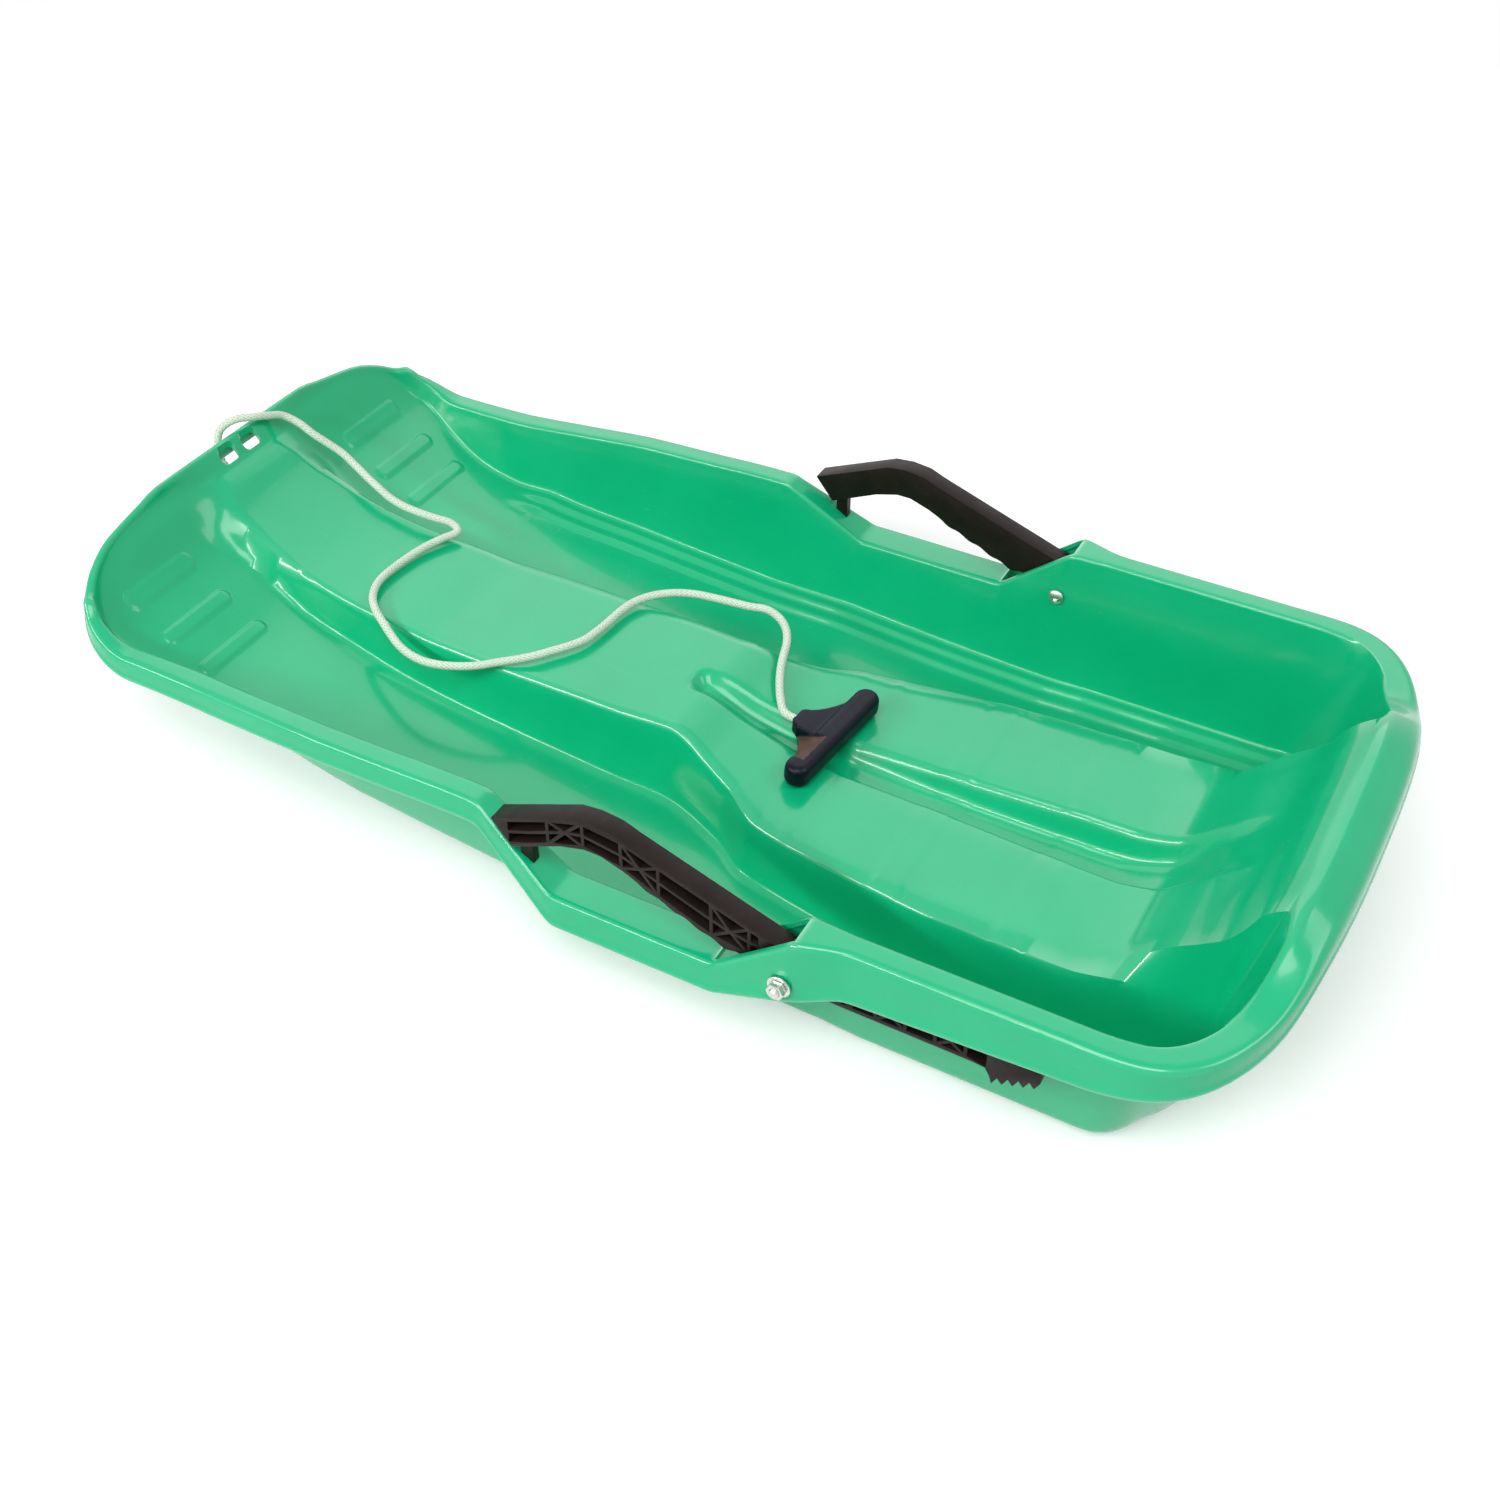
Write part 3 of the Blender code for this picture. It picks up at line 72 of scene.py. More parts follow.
# Skirt depths below the rim
FRONT_SKIRT = 15 * MM
NOTCH_SKIRT = 21 * MM
EAR_SKIRT = 45 * MM
REAR_SKIRT = 28 * MM
TAIL_SKIRT = 13 * MM

# Middle body: seat, hump between the legs and centre groove
SEAT_HEIGHT = 44 * MM
HUMP_HEIGHT = 68 * MM
SEAT_HALF_WIDTH = 112 * MM
SEAT_WALL_RUN = 9 * MM
GROOVE_HALF_WIDTH = 23 * MM
GROOVE_WALL_RUN = 9 * MM
GROOVE_DEPTH = 20 * MM
SEAM_WIDTH = 20 * MM
SEAM_PITCH = 85 * MM
SEAM_RISE = 0.54 * MM
SEAM_RAMP = 3 * MM
SEAM_FIRST = 76.5 * MM
SEAM_COUNT = 3

# Runner steps along the foot of each side wall
STEP_RISE = 3 * MM
STEP_RAMP = 3 * MM
STEP_WIDTH = 12 * MM

# Ribs on the slopes of the two foot wells
FOOT_RIB_WIDTH = 11 * MM
FOOT_RIB_LENGTH = 66 * MM
FOOT_RIB_MIDDLE = 122 * MM
FOOT_RIB_RISE = 1.5 * MM
FOOT_RIB_FLARE = 1.2 * MM
FOOT_RIB_SLOPE = 2.8 * MM

# Pivot, notch and lever slot
PIVOT_X = -156.5 * MM
PIVOT_HEIGHT = 77 * MM
NOTCH_FRONT_TOP = 64.5 * MM
NOTCH_FRONT_FOOT = 3.5 * MM
NOTCH_REAR_FOOT = 46 * MM
NOTCH_REAR_TOP = 6 * MM
EAR_TAPER = 29 * MM

# Holes for the rope in the nose
ROPE_HOLE_LENGTH = 17 * MM
ROPE_HOLE_WIDTH = 8 * MM
ROPE_HOLE_PITCH = 24 * MM
ROPE_HOLE_BACK = 10 * MM

# Brake lever
GRIP_INNER = 208 * MM
GRIP_WIDTH = 14 * MM
ARM_INNER = 206 * MM
ARM_WIDTH = 10 * MM
BOSS_INNER = 205 * MM
BOSS_WIDTH = 18.5 * MM
BOSS_RADIUS = 14 * MM
HUB_DEPTH = 5.6 * MM
GRIP_LENGTH = 202 * MM
GRIP_RISE = 66 * MM
ARM_LENGTH = 155 * MM
CLAW_TEETH = 5
TOOTH_DEPTH = 5 * MM
GRIP_WAVES = 4
WAVE_STEPS = 6
WAVE_DEPTH = 1.5 * MM
LEVER_SKIN = 3 * MM
LEVER_RIB = 2.2 * MM
LEVER_WEB = 3 * MM
LEVER_EDGE = 0.7 * MM
POCKET_STEP = 55 / 3 * MM
REST_WIDTH = 6 * MM
REST_LENGTH = 9 * MM

# Pivot bolt, washer and nut
BOLT_RADIUS = 3 * MM
BORE_RADIUS = 3.3 * MM
HEAD_RADIUS = 6 * MM
HEAD_DEPTH = 3.2 * MM
HEX_SOCKET_RADIUS = 2.4 * MM
WASHER_RADIUS = 7.5 * MM
WASHER_DEPTH = 1.4 * MM
NUT_RADIUS = 5.8 * MM
NUT_DEPTH = 4.4 * MM
BOLT_END = 2 * MM
GAP = 0.3 * MM
# Half widths at which the bolt's head and the washer stand, just clear of the hull's two faces
HEAD_FACE = 195.738 * MM
WASHER_FACE = 230.574 * MM

# Tow rope, its knot and its handle
ROPE_DIAMETER = 6 * MM
ROPE_STEP = 13 * MM
KNOT_RADIUS = 7.5 * MM
HANDLE_LENGTH = 104 * MM
HANDLE_WIDTH = 15 * MM
HANDLE_THICKNESS = 15 * MM
NECK_LENGTH = 20 * MM
NECK_WIDTH = 60 * MM
NECK_THICKNESS = 10 * MM
NECK_RAISE = 1 * MM
ROPE_SOCKET_DEPTH = 16 * MM
HANDLE_CENTRE = Vector((-72, -2.5, 53.986866)) * MM
HANDLE_TURN = math.radians(-5.7)
HANDLE_TILT = math.radians(4)


# Tables of shares. A place is a share of the hull's length, measured from its middle.


def placed(shares, low, high, length=HULL_LENGTH):
    """Table of real places and values from a table of shares."""
    return [(place * length, low + (high - low) * share) for place, share in shares]


def scaled(shares, forward, up):
    return [(u * forward, v * up) for u, v in shares]


# Value: share of the way from the wall's thickness up to the nose's height
TROUGH_LINE = placed((
    (-0.45, 0.06), (-0.375, 0.0), (-0.2145, 0.0), (-0.1221, 0.014), (-0.0308, 0.05), (0.073, 0.106),
    (0.1769, 0.163), (0.2652, 0.22), (0.3274, 0.298), (0.3806, 0.376), (0.4267, 0.525), (0.4619, 0.681),
    (0.49, 0.936), (0.495, 0.96),
), WALL, NOSE_HEIGHT)
# Value: share of the way from the seat's height up to the tail's height
BODY_LINE = placed((
    (-0.4693, 1.0), (-0.4503, 0.857), (-0.4272, 0.571), (-0.3991, 0.357), (-0.375, 0.163),
    (-0.3585, 0.061),
), SEAT_HEIGHT, TAIL_HEIGHT)
# Value: share of the way from the seat's height up to the hump's height
BODY_LINE += placed((
    (-0.3238, 0.0), (-0.088, 0.0), (-0.0579, 0.167), (-0.0178, 0.5), (0.0248, 1.0), (0.2457, 1.0),
), SEAT_HEIGHT, HUMP_HEIGHT)
# Value: share of the way from the hump's height up to the nose's height
BODY_LINE += placed((
    (0.2873, 0.039), (0.3294, 0.079), (0.3796, 0.184), (0.4137, 0.329), (0.4478, 0.526),
    (0.4839, 0.816), (0.49, 0.83),
), HUMP_HEIGHT, NOSE_HEIGHT)
# Value: half width of the middle body's top as a share of the seat's half width
BODY_WIDTH_LINE = placed((
    (-0.4653, 0.85), (-0.3991, 0.89), (-0.3299, 1.0), (-0.2305, 0.982), (-0.1733, 0.9375),
    (-0.1156, 0.875),
    (-0.0697, 0.804), (-0.0351, 0.643), (0.0271, 0.5), (0.073, 0.518), (0.1719, 0.518), (0.2873, 0.491),
    (0.3796, 0.446), (0.4478, 0.402), (0.4839, 0.268),
), 0, SEAT_HALF_WIDTH)
# Value: share of the seat wall's run
BODY_RUN_LINE = placed((
    (-0.4533, 2.2), (-0.3931, 1.7), (-0.3329, 1.0), (0.4368, 1.0), (0.4649, 3.0), (0.4925, 5.5),
), 0, SEAT_WALL_RUN)
# Value: share of the groove's depth, and of its half width
GROOVE_LINE = placed((
    (-0.4282, 0.0), (-0.4131, 0.15), (-0.363, 0.8), (-0.3028, 1.0), (-0.1914, 0.85), (-0.0996, 0.65),
    (0.0153, 0.5), (0.0284, 0.4), (0.0404, 0.0),
), 0, GROOVE_DEPTH)
GROOVE_WIDTH_LINE = placed((
    (-0.4031, 1.1), (-0.2947, 1.0), (-0.1914, 0.826), (-0.0996, 0.74), (0.0153, 0.52),
), 0, GROOVE_HALF_WIDTH)
# Value: share of the step's rise
STEP_LINE = placed(((-0.4332, 0.0), (-0.4031, 1.0), (0.2993, 1.0), (0.3445, 0.0)), 0, STEP_RISE)
# Places of the foot ribs
FOOT_RIB_PLACE_SHARES = (0.3941, 0.4275, 0.4608)
# Value: share of the rim's height
FRONT_RIM_LINE = placed((
    (0.0906, 0.946), (0.1558, 0.928), (0.2215, 0.91), (0.2873, 0.878), (0.3525, 0.851), (0.4197, 0.847),
    (0.4629, 0.982), (0.4724, 1.063),
), 0, RIM_HEIGHT)
# Share of the nose's half width, and share of the way up to the nose's height
NOSE_RISE_LINE = placed((
    (0.4, 1.0), (0.5, 0.85), (0.6, 0.73), (0.7, 0.615), (0.8, 0.346), (0.9, 0.0),
), 0, 1, NOSE_HALF_WIDTH)
# Share of the rear half width, and share of the way up to the tail's height
TAIL_RISE_LINE = placed(((0.36, 1.0), (0.5, 0.8), (0.62, 0.25), (0.72, 0.0)), 0, 1, REAR_HALF_WIDTH)
# How much of the tail's rise a place along the hull has
TAIL_BLEND_LINE = placed(((-0.4583, 1.0), (-0.4031, 0.0)), 0, 1)
# Value: share of the nose's half width and of the front's, from the notch to the nose
FRONT_SIDE_SHARES = ((0.2215, 0.99), (0.2873, 0.969), (0.3525, 0.948), (0.3956, 0.943))
# Value: shares of the rim's width, of the wall's run and of the lip's run
RIM_WIDTH_SHARES = ((0.3525, 1.0), (0.4197, 0.9), (0.4629, 0.5), (0.49, 0.26))
WALL_RUN_LINE = placed(((0.3595, 1.0), (0.4197, 0.75), (0.4629, 0.35), (0.49, 0.13)), 0, WALL_RUN)
LIP_RUN_LINE = placed(((0.15, 0.8), (0.4, 0.0)), 0, LIP_RUN, NOSE_HALF_WIDTH)
LIP_BLEND_LINE = placed(((0.4699, 0.0), (0.49, 1.0)), 0, 1)
# Places of the stations. The corner stations are shares of the tail's curve, and the last one of the nose's
FRONT_STATION_SHARES = (
    0.0324, 0.1087, 0.1438, 0.1789, 0.214, 0.2491, 0.2792, 0.3093, 0.3394, 0.3645, 0.3896, 0.4117,
    0.4298, 0.4448,
)
REAR_STATION_SHARES = (-0.378, -0.3549, -0.2375, -0.1573, -0.0619, -0.0318)
CORNER_STATION_SHARES = (0.6, 0.42, 0.22, 0.0)
NOSE_CORNER_SHARE = 0.74
FADE_STATIONS = 7

# Lever outlines: forward of the pivot as shares of the grip's length and rise, behind it of the arm's length
GRIP_TOP = scaled((
    (1.0, 0.507), (0.708, 0.901), (0.639, 0.924), (0.569, 0.901), (0.515, 0.833), (0.035, 0.33),
    (-0.03, 0.28),
), GRIP_LENGTH, GRIP_RISE)
GRIP_BOTTOM = scaled((
    (0.2, 0.05), (0.4455, 0.363), (0.54, 0.5), (0.614, 0.576), (0.668, 0.576), (0.752, 0.5),
    (0.931, 0.242),
), GRIP_LENGTH, GRIP_RISE)
ARM_TOP = scaled(((-0.02, 0.085), (-0.2, 0.05), (-0.985, -0.006), (-1.0, -0.02)), ARM_LENGTH, ARM_LENGTH)
CLAW = scaled(((-1.0, -0.09), (-0.82, -0.16)), ARM_LENGTH, ARM_LENGTH)
ARM_BOTTOM = scaled(((-0.81, -0.14), (-0.79, -0.105), (-0.74, -0.1), (-0.1, -0.095)), ARM_LENGTH, ARM_LENGTH)
WAVE_SPAN_SHARES = (0.16, 0.5)
# Neck of the handle: share of the way to its tip, half width as a share of the neck's width
NECK_SHARES = ((0.0, 0.56), (0.12, 0.5), (0.4, 0.31), (0.75, 0.17), (0.93, 0.13), (1.0, 0.1))
# Middles of the crossed ribs and half their length
GRIP_CROSS_SHARES = (0.183, 0.48, 0.733)
GRIP_POCKET_SHARES = (0.085, 0.945)
GRIP_CROSS_REACH_SHARE = 0.062
ARM_CROSS_SHARES = (-0.19, -0.41, -0.65)
ARM_POCKET_SHARES = (-0.8, -0.11)
ARM_CROSS_REACH_SHARE = 0.06

# Rope route: place share of the hull's length, share of the nose's half width, share of the nose's height
ROPE_ROUTE_SHARES = (
    (0.4834, 0.045, 0.8), (0.4965, 0.035, 0.815), (0.5075, 0.025, 0.87), (0.509, 0.012, 0.96),
    (0.505, -0.01, 1.035), (0.4965, -0.045, 1.065), (0.4885, -0.09, 1.06), (0.4829, -0.15, 1.035),
    (0.4779, -0.21, 1.0), (0.4664, -0.235, 0.955), (0.4503, -0.25, 0.885), (0.4353, -0.275, 0.82),
    (0.4182, -0.275, 0.755), (0.3987, -0.255, 0.71), (0.3736, -0.245, 0.64), (0.348, -0.25, 0.61),
    (0.3214, -0.28, 0.575), (0.3108, -0.285, 0.56), (0.3114, -0.26, 0.55), (0.3229, -0.12, 0.547),
    (0.3274, 0.06, 0.548), (0.3239, 0.165, 0.549), (0.3114, 0.25, 0.545), (0.2883, 0.32, 0.53),
    (0.2607, 0.38, 0.5),
    (0.2351, 0.395, 0.49), (0.211, 0.37, 0.495), (0.1919, 0.33, 0.505), (0.1799, 0.285, 0.51),
    (0.1628, 0.22, 0.515), (0.1498, 0.145, 0.515), (0.1362, 0.05, 0.515), (0.1317, -0.06, 0.515),
    (0.1297, -0.175, 0.515), (0.1237, -0.265, 0.515), (0.1066, -0.345, 0.515), (0.0846, -0.39, 0.51),
    (0.0595, -0.405, 0.51), (0.0404, -0.42, 0.505), (0.0203, -0.435, 0.5), (0.0018, -0.38, 0.49),
    (-0.0077, -0.31, 0.475), (-0.0133, -0.225, 0.45), (-0.0228, -0.135, 0.422), (-0.0325, -0.068, 0.408),
    (-0.0395, -0.036, 0.398),
)
KNOT_SHARES = (0.4739, 0.06, 0.73)


def clamp(value):
    return max(0.0, min(1.0, value))


def smooth(value):
    t = clamp(value)
    return t * t * (3 - 2 * t)


def linear(x, table):
    """Straight runs through a table of (place, value), level beyond its ends."""
    if x <= table[0][0]:
        return table[0][1]
    for a, b in zip(table, table[1:]):
        if x <= b[0]:
            return a[1] + (b[1] - a[1]) * (x - a[0]) / (b[0] - a[0])
    return table[-1][1]


def along(x, table):
    """Smooth curve through a table of (place, value) that never overshoots, level beyond its ends."""
    if x <= table[0][0]:
        return table[0][1]
    if x >= table[-1][0]:
        return table[-1][1]
    slopes = [(b[1] - a[1]) / (b[0] - a[0]) for a, b in zip(table, table[1:])]
    for i, (a, b) in enumerate(zip(table, table[1:])):
        if x <= b[0]:
            break

    def tangent(k):
        if k == 0 or k == len(slopes) or slopes[k - 1] * slopes[k] <= 0:
            return 0.0
        return 2 * slopes[k - 1] * slopes[k] / (slopes[k - 1] + slopes[k])

    width = b[0] - a[0]
    t = (x - a[0]) / width
    low = (2 * t**3 - 3 * t**2 + 1) * a[1] + (t**3 - 2 * t**2 + t) * tangent(i) * width
    return low + (3 * t**2 - 2 * t**3) * b[1] + (t**3 - t**2) * tangent(i + 1) * width


# Hull lines

HALF_LENGTH = HULL_LENGTH / 2
NOSE_START = HALF_LENGTH - SKIRT_FLARE - NOSE_CURVE_LENGTH
TAIL_START = -HALF_LENGTH + SKIRT_FLARE + TAIL_CURVE_LENGTH
NOSE_POWER = 4.1
TAIL_POWER = 2.85
REAR_FOOT = PIVOT_X + NOTCH_REAR_FOOT
REAR_TOP = PIVOT_X - NOTCH_REAR_TOP
EAR_END = REAR_TOP - EAR_TAPER

NOTCH_LINE = [
    (REAR_TOP, RIM_HEIGHT),
    (REAR_FOOT, NOTCH_HEIGHT),
    (NOTCH_FRONT_FOOT, NOTCH_HEIGHT),
    (NOTCH_FRONT_TOP, FRONT_RIM_LINE[0][1]),
]
SIDE_LINE = [
    (EAR_END, REAR_HALF_WIDTH),
    (REAR_TOP, EAR_HALF_WIDTH),
    (NOTCH_FRONT_FOOT, EAR_HALF_WIDTH),
    (NOTCH_FRONT_TOP, FRONT_HALF_WIDTH),
] + placed(FRONT_SIDE_SHARES, 0, FRONT_HALF_WIDTH)
SKIRT_LINE = [
    (TAIL_START - TAIL_CURVE_LENGTH, TAIL_SKIRT),
    (TAIL_START, REAR_SKIRT),
    (EAR_END, (REAR_SKIRT + EAR_SKIRT) / 2),
    (REAR_TOP, EAR_SKIRT),
    (REAR_FOOT, NOTCH_SKIRT),
    (NOTCH_FRONT_FOOT, NOTCH_SKIRT),
    (NOTCH_FRONT_TOP, FRONT_SKIRT),
]
RIM_WIDTH_LINE = [
    (TAIL_START - TAIL_CURVE_LENGTH, TAIL_RIM_WIDTH),
    (TAIL_START, RIM_WIDTH),
    (EAR_END, RIM_WIDTH),
    (REAR_TOP, EAR_RIM_WIDTH),
    (NOTCH_FRONT_FOOT, EAR_RIM_WIDTH),
    (NOTCH_FRONT_TOP, RIM_WIDTH),
] + placed(RIM_WIDTH_SHARES, 0, RIM_WIDTH)


def front_rim_height(x, y):
    """Height of the rim's outer top edge ahead of the notch."""
    side = along(x, FRONT_RIM_LINE)
    if x > FRONT_RIM_LINE[-2][0]:
        side += (NOSE_HEIGHT - side) * along(abs(y), NOSE_RISE_LINE)
    return side


def band(x, middle, width, ramp):
    return clamp((width / 2 - abs(x - middle)) / ramp + 0.5)


def seam_places():
    return [-SEAM_FIRST - SEAM_PITCH * i for i in range(SEAM_COUNT)]


def end_curve(share, power):
    return (1 - min(abs(share), 1) ** power) ** (1 / power)


def side_half_width(x):
    if x > NOSE_START:
        return NOSE_HALF_WIDTH * end_curve((x - NOSE_START) / NOSE_CURVE_LENGTH, NOSE_POWER)
    if x < TAIL_START:
        return REAR_HALF_WIDTH * end_curve((TAIL_START - x) / TAIL_CURVE_LENGTH, TAIL_POWER)
    return linear(x, SIDE_LINE)


def end_place(y, nose):
    """X of the outline's end at a half width."""
    if nose:
        return NOSE_START + NOSE_CURVE_LENGTH * end_curve(y / NOSE_HALF_WIDTH, NOSE_POWER)
    return TAIL_START - TAIL_CURVE_LENGTH * end_curve(y / REAR_HALF_WIDTH, TAIL_POWER)


def stations():
    places = [TAIL_START - TAIL_CURVE_LENGTH * share for share in CORNER_STATION_SHARES]
    places += [share * HULL_LENGTH for share in REAR_STATION_SHARES + FRONT_STATION_SHARES]
    for seam in seam_places():
        for sign in (-1, 1):
            edge = seam + sign * SEAM_WIDTH / 2
            places += [edge - SEAM_RAMP / 2, edge + SEAM_RAMP / 2]
    places += [EAR_END, REAR_TOP, REAR_FOOT, NOTCH_FRONT_FOOT, NOTCH_FRONT_TOP]
    return sorted(places + [NOSE_START + NOSE_CURVE_LENGTH * NOSE_CORNER_SHARE])


def wall_run(x, y):
    """How far in the tub's wall leans from its top to its foot."""
    if x < TAIL_START:
        outside = clamp((abs(y) - along(x, BODY_WIDTH_LINE)) / along(x, BODY_RUN_LINE))
        tail = TAIL_MIDDLE_RUN + (TAIL_WALL_RUN - TAIL_MIDDLE_RUN) * outside
        return WALL_RUN + (tail - WALL_RUN) * smooth((TAIL_START - x) / (TAIL_CURVE_LENGTH / 2))
    return along(x, WALL_RUN_LINE) + along(abs(y), LIP_RUN_LINE) * along(x, LIP_BLEND_LINE)


def stitched(mesh, rings, loop=False, caps=False, flip=False):
    """Adds the faces between rings of one count, and over the first and the last of them."""
    order = -1 if flip else 1
    for a, b in zip(rings, rings[1:] + (rings[:1] if loop else [])):
        for k in range(len(a)):
            n = (k + 1) % len(a)
            mesh.faces.new((a[k], a[n], b[n], b[k])[::order])
    if caps:
        mesh.faces.new(rings[0][::-order])
        mesh.faces.new(rings[-1][::order])


def prism(mesh, outline, low, high, place):
    """Adds a closed prism over an outline; place turns (u, v, depth) into a point."""
    rings = [[mesh.verts.new(place(u, v, depth)) for u, v in outline] for depth in (low, high)]
    stitched(mesh, rings, caps=True)


def closed(mesh):
    bmesh.ops.recalc_face_normals(mesh, faces=mesh.faces)
    return mesh


def circle(radius, sides, turn=0.0):
    step = 2 * math.pi / sides
    return [(radius * math.cos(turn + step * i), radius * math.sin(turn + step * i)) for i in range(sides)]


def stadium(length, width, steps):
    """Outline with round ends, long in its second direction."""
    radius = width / 2
    middle = length / 2 - radius
    outline = []
    for sign in (1, -1):
        for k in range(steps + 1):
            angle = math.pi * k / steps
            outline.append((sign * radius * math.cos(angle), sign * (middle + radius * math.sin(angle))))
    return outline


def at_pivot(x, z, y):
    return Vector((PIVOT_X + x, y, PIVOT_HEIGHT + z))


# Brake levers, drawn from the pivot: u forward, v up


def grip_outline():
    """Side view of the grip: raked tip, bent top and finger waves below."""
    start, end = (share * GRIP_LENGTH for share in WAVE_SPAN_SHARES)
    bottom = []
    count = GRIP_WAVES * WAVE_STEPS
    for k in range(count + 1):
        u = start + (end - start) * k / count
        wave = WAVE_DEPTH * (1 - math.cos(2 * math.pi * GRIP_WAVES * k / count)) / 2
        bottom.append((u, linear(u, GRIP_BOTTOM) - wave))
    bottom += [point for point in GRIP_BOTTOM if point[0] > end]
    behind = [(-HUB_DEPTH, 0), (0, -BOSS_RADIUS / 2), (BOSS_RADIUS * 0.9, -HUB_DEPTH)]
    return GRIP_TOP + behind + bottom


def arm_outline():
    """Side view of the arm: straight bar, then a deeper claw with pointed teeth."""
    (u0, v0), (u1, v1) = CLAW
    teeth = []
    for k in range(2 * CLAW_TEETH):
        share = k / (2 * CLAW_TEETH - 1)
        up = 0 if k % 2 else TOOTH_DEPTH
        teeth.append((u0 + (u1 - u0) * share, v0 + (v1 - v0) * share - TOOTH_DEPTH / 2 + up))
    return ARM_TOP + teeth + ARM_BOTTOM + [(0, -HUB_DEPTH)]


def shrink(outline, distance):
    """Outline with each side moved inward by a distance."""
    count = len(outline)
    area = sum(a[0] * b[1] - b[0] * a[1] for a, b in zip(outline, outline[1:] + outline[:1]))
    turn = 1 if area > 0 else -1
    result = []
    for i in range(count):
        before, here, after = (Vector(outline[(i + k) % count]) for k in (-1, 0, 1))
        first = (here - before).normalized()
        second = (after - here).normalized()
        n1 = Vector((-first.y, first.x)) * turn
        n2 = Vector((-second.y, second.x)) * turn
        half = n1 + n2
        result.append(tuple(here + half * (distance * 2 / half.length_squared)))
    return result


def pockets(top, bottom, ends, crosses, reach, length, mid_rib):
    """Outlines of the pockets between the ribs of a channel, from its upper and lower lines and shares."""
    skin = LEVER_SKIN - LEVER_RIB / 2
    top, bottom = sorted(top), sorted(bottom)

    def upper(u):
        return linear(u, top) - skin

    def lower(u):
        return linear(u, bottom) + skin

    def middle(u):
        return (upper(u) + lower(u)) / 2

    def run(line, start, end):
        steps = max(1, round(abs(end - start) / POCKET_STEP))
        places = [start + (end - start) * k / steps for k in range(steps + 1)]
        return [(place, line(place)) for place in places]

    found = []
    edges = [ends[0] * length]
    for cross in sorted(crosses):
        left, right = (cross - reach) * length, (cross + reach) * length
        edges += [left, right]
        centre = (cross * length, middle(cross * length))
        for outer in (upper, lower):
            found.append([(left, outer(left)), centre, (right, outer(right))])
            if mid_rib:
                found += [[(side, outer(side)), centre, (side, middle(side))] for side in (left, right)]
        if not mid_rib:
            found += [[(side, upper(side)), centre, (side, lower(side))] for side in (left, right)]
    edges.append(ends[1] * length)
    halves = ((upper, middle), (middle, lower)) if mid_rib else ((upper, lower),)
    for start, end in zip(edges[::2], edges[1::2]):
        found += [run(high, start, end) + run(low, end, start) for high, low in halves]
    return [shrink(outline, LEVER_RIB / 2) for outline in found]


# Handle and rope, drawn in the handle's own directions

HANDLE_LEVEL = Vector((math.cos(HANDLE_TURN), math.sin(HANDLE_TURN), 0))
HANDLE_ACROSS = Vector((-HANDLE_LEVEL.y, HANDLE_LEVEL.x, 0))
HANDLE_FORWARD = HANDLE_LEVEL * math.cos(HANDLE_TILT) + Vector((0, 0, math.sin(HANDLE_TILT)))
HANDLE_UP = HANDLE_FORWARD.cross(HANDLE_ACROSS)


def in_handle(u, v, depth):
    return HANDLE_CENTRE + HANDLE_FORWARD * u + HANDLE_ACROSS * v + HANDLE_UP * depth


def nose_place(shares):
    place, across, height = shares
    return Vector((place * HULL_LENGTH, across * NOSE_HALF_WIDTH, height * NOSE_HEIGHT))


def rope_route():
    """Listed points of the rope's middle line, from the nose to the inside of the handle's neck."""
    laid = [nose_place(shares) for shares in ROPE_ROUTE_SHARES]
    knot = nose_place(KNOT_SHARES)
    route = [knot + (laid[0] - knot).normalized() * (KNOT_RADIUS + 4 * GAP)] + laid
    front = HANDLE_WIDTH / 2 + NECK_LENGTH
    for u in (front + ROPE_DIAMETER, front - ROPE_SOCKET_DEPTH / 2):
        route.append(in_handle(u, 0, NECK_RAISE))
    route.append(in_handle(front - ROPE_SOCKET_DEPTH + GAP, 0, NECK_RAISE))
    return route


CURVE_STEPS = 16


def even_points(route, step):
    """Evenly spaced points on a smooth curve through the route's points."""
    fine = []
    for i in range(len(route) - 1):
        p0 = route[max(i - 1, 0)]
        p1, p2 = route[i], route[i + 1]
        p3 = route[min(i + 2, len(route) - 1)]
        for k in range(CURVE_STEPS):
            t = k / CURVE_STEPS
            a = p1 * 2 + (p2 - p0) * t
            b = (p0 * 2 - p1 * 5 + p2 * 4 - p3) * t**2
            c = (p1 * 3 - p0 - p2 * 3 + p3) * t**3
            fine.append((a + b + c) / 2)
    fine.append(route[-1])
    lengths = [0.0]
    for a, b in zip(fine, fine[1:]):
        lengths.append(lengths[-1] + (b - a).length)
    count = round(lengths[-1] / step)
    points = []
    k = 0
    for i in range(count + 1):
        target = lengths[-1] * i / count
        while k < len(fine) - 2 and lengths[k + 1] < target:
            k += 1
        share = (target - lengths[k]) / (lengths[k + 1] - lengths[k])
        points.append(fine[k].lerp(fine[k + 1], clamp(share)))
    return points


# Camera, at the photograph's viewing angle

CAMERA_PLACE = Vector((-480.2, 856.0, 870.4)) * MM
CAMERA_TARGET = Vector((-11.1, 0.0, 18.6)) * MM
CAMERA_LENS = 44.186
SENSOR = 36


def add_camera():
    data = bpy.data.cameras.new("camera")
    data.sensor_width = SENSOR
    data.sensor_height = SENSOR
    data.lens = CAMERA_LENS
    data.clip_start = 0.01
    data.clip_end = 50
    camera = bpy.data.objects.new("camera", data)
    camera.location = CAMERA_PLACE
    camera.rotation_euler = (CAMERA_TARGET - CAMERA_PLACE).to_track_quat("-Z", "Y").to_euler()
    bpy.context.scene.collection.objects.link(camera)
    bpy.context.scene.camera = camera


# Helpers for fine surfaces

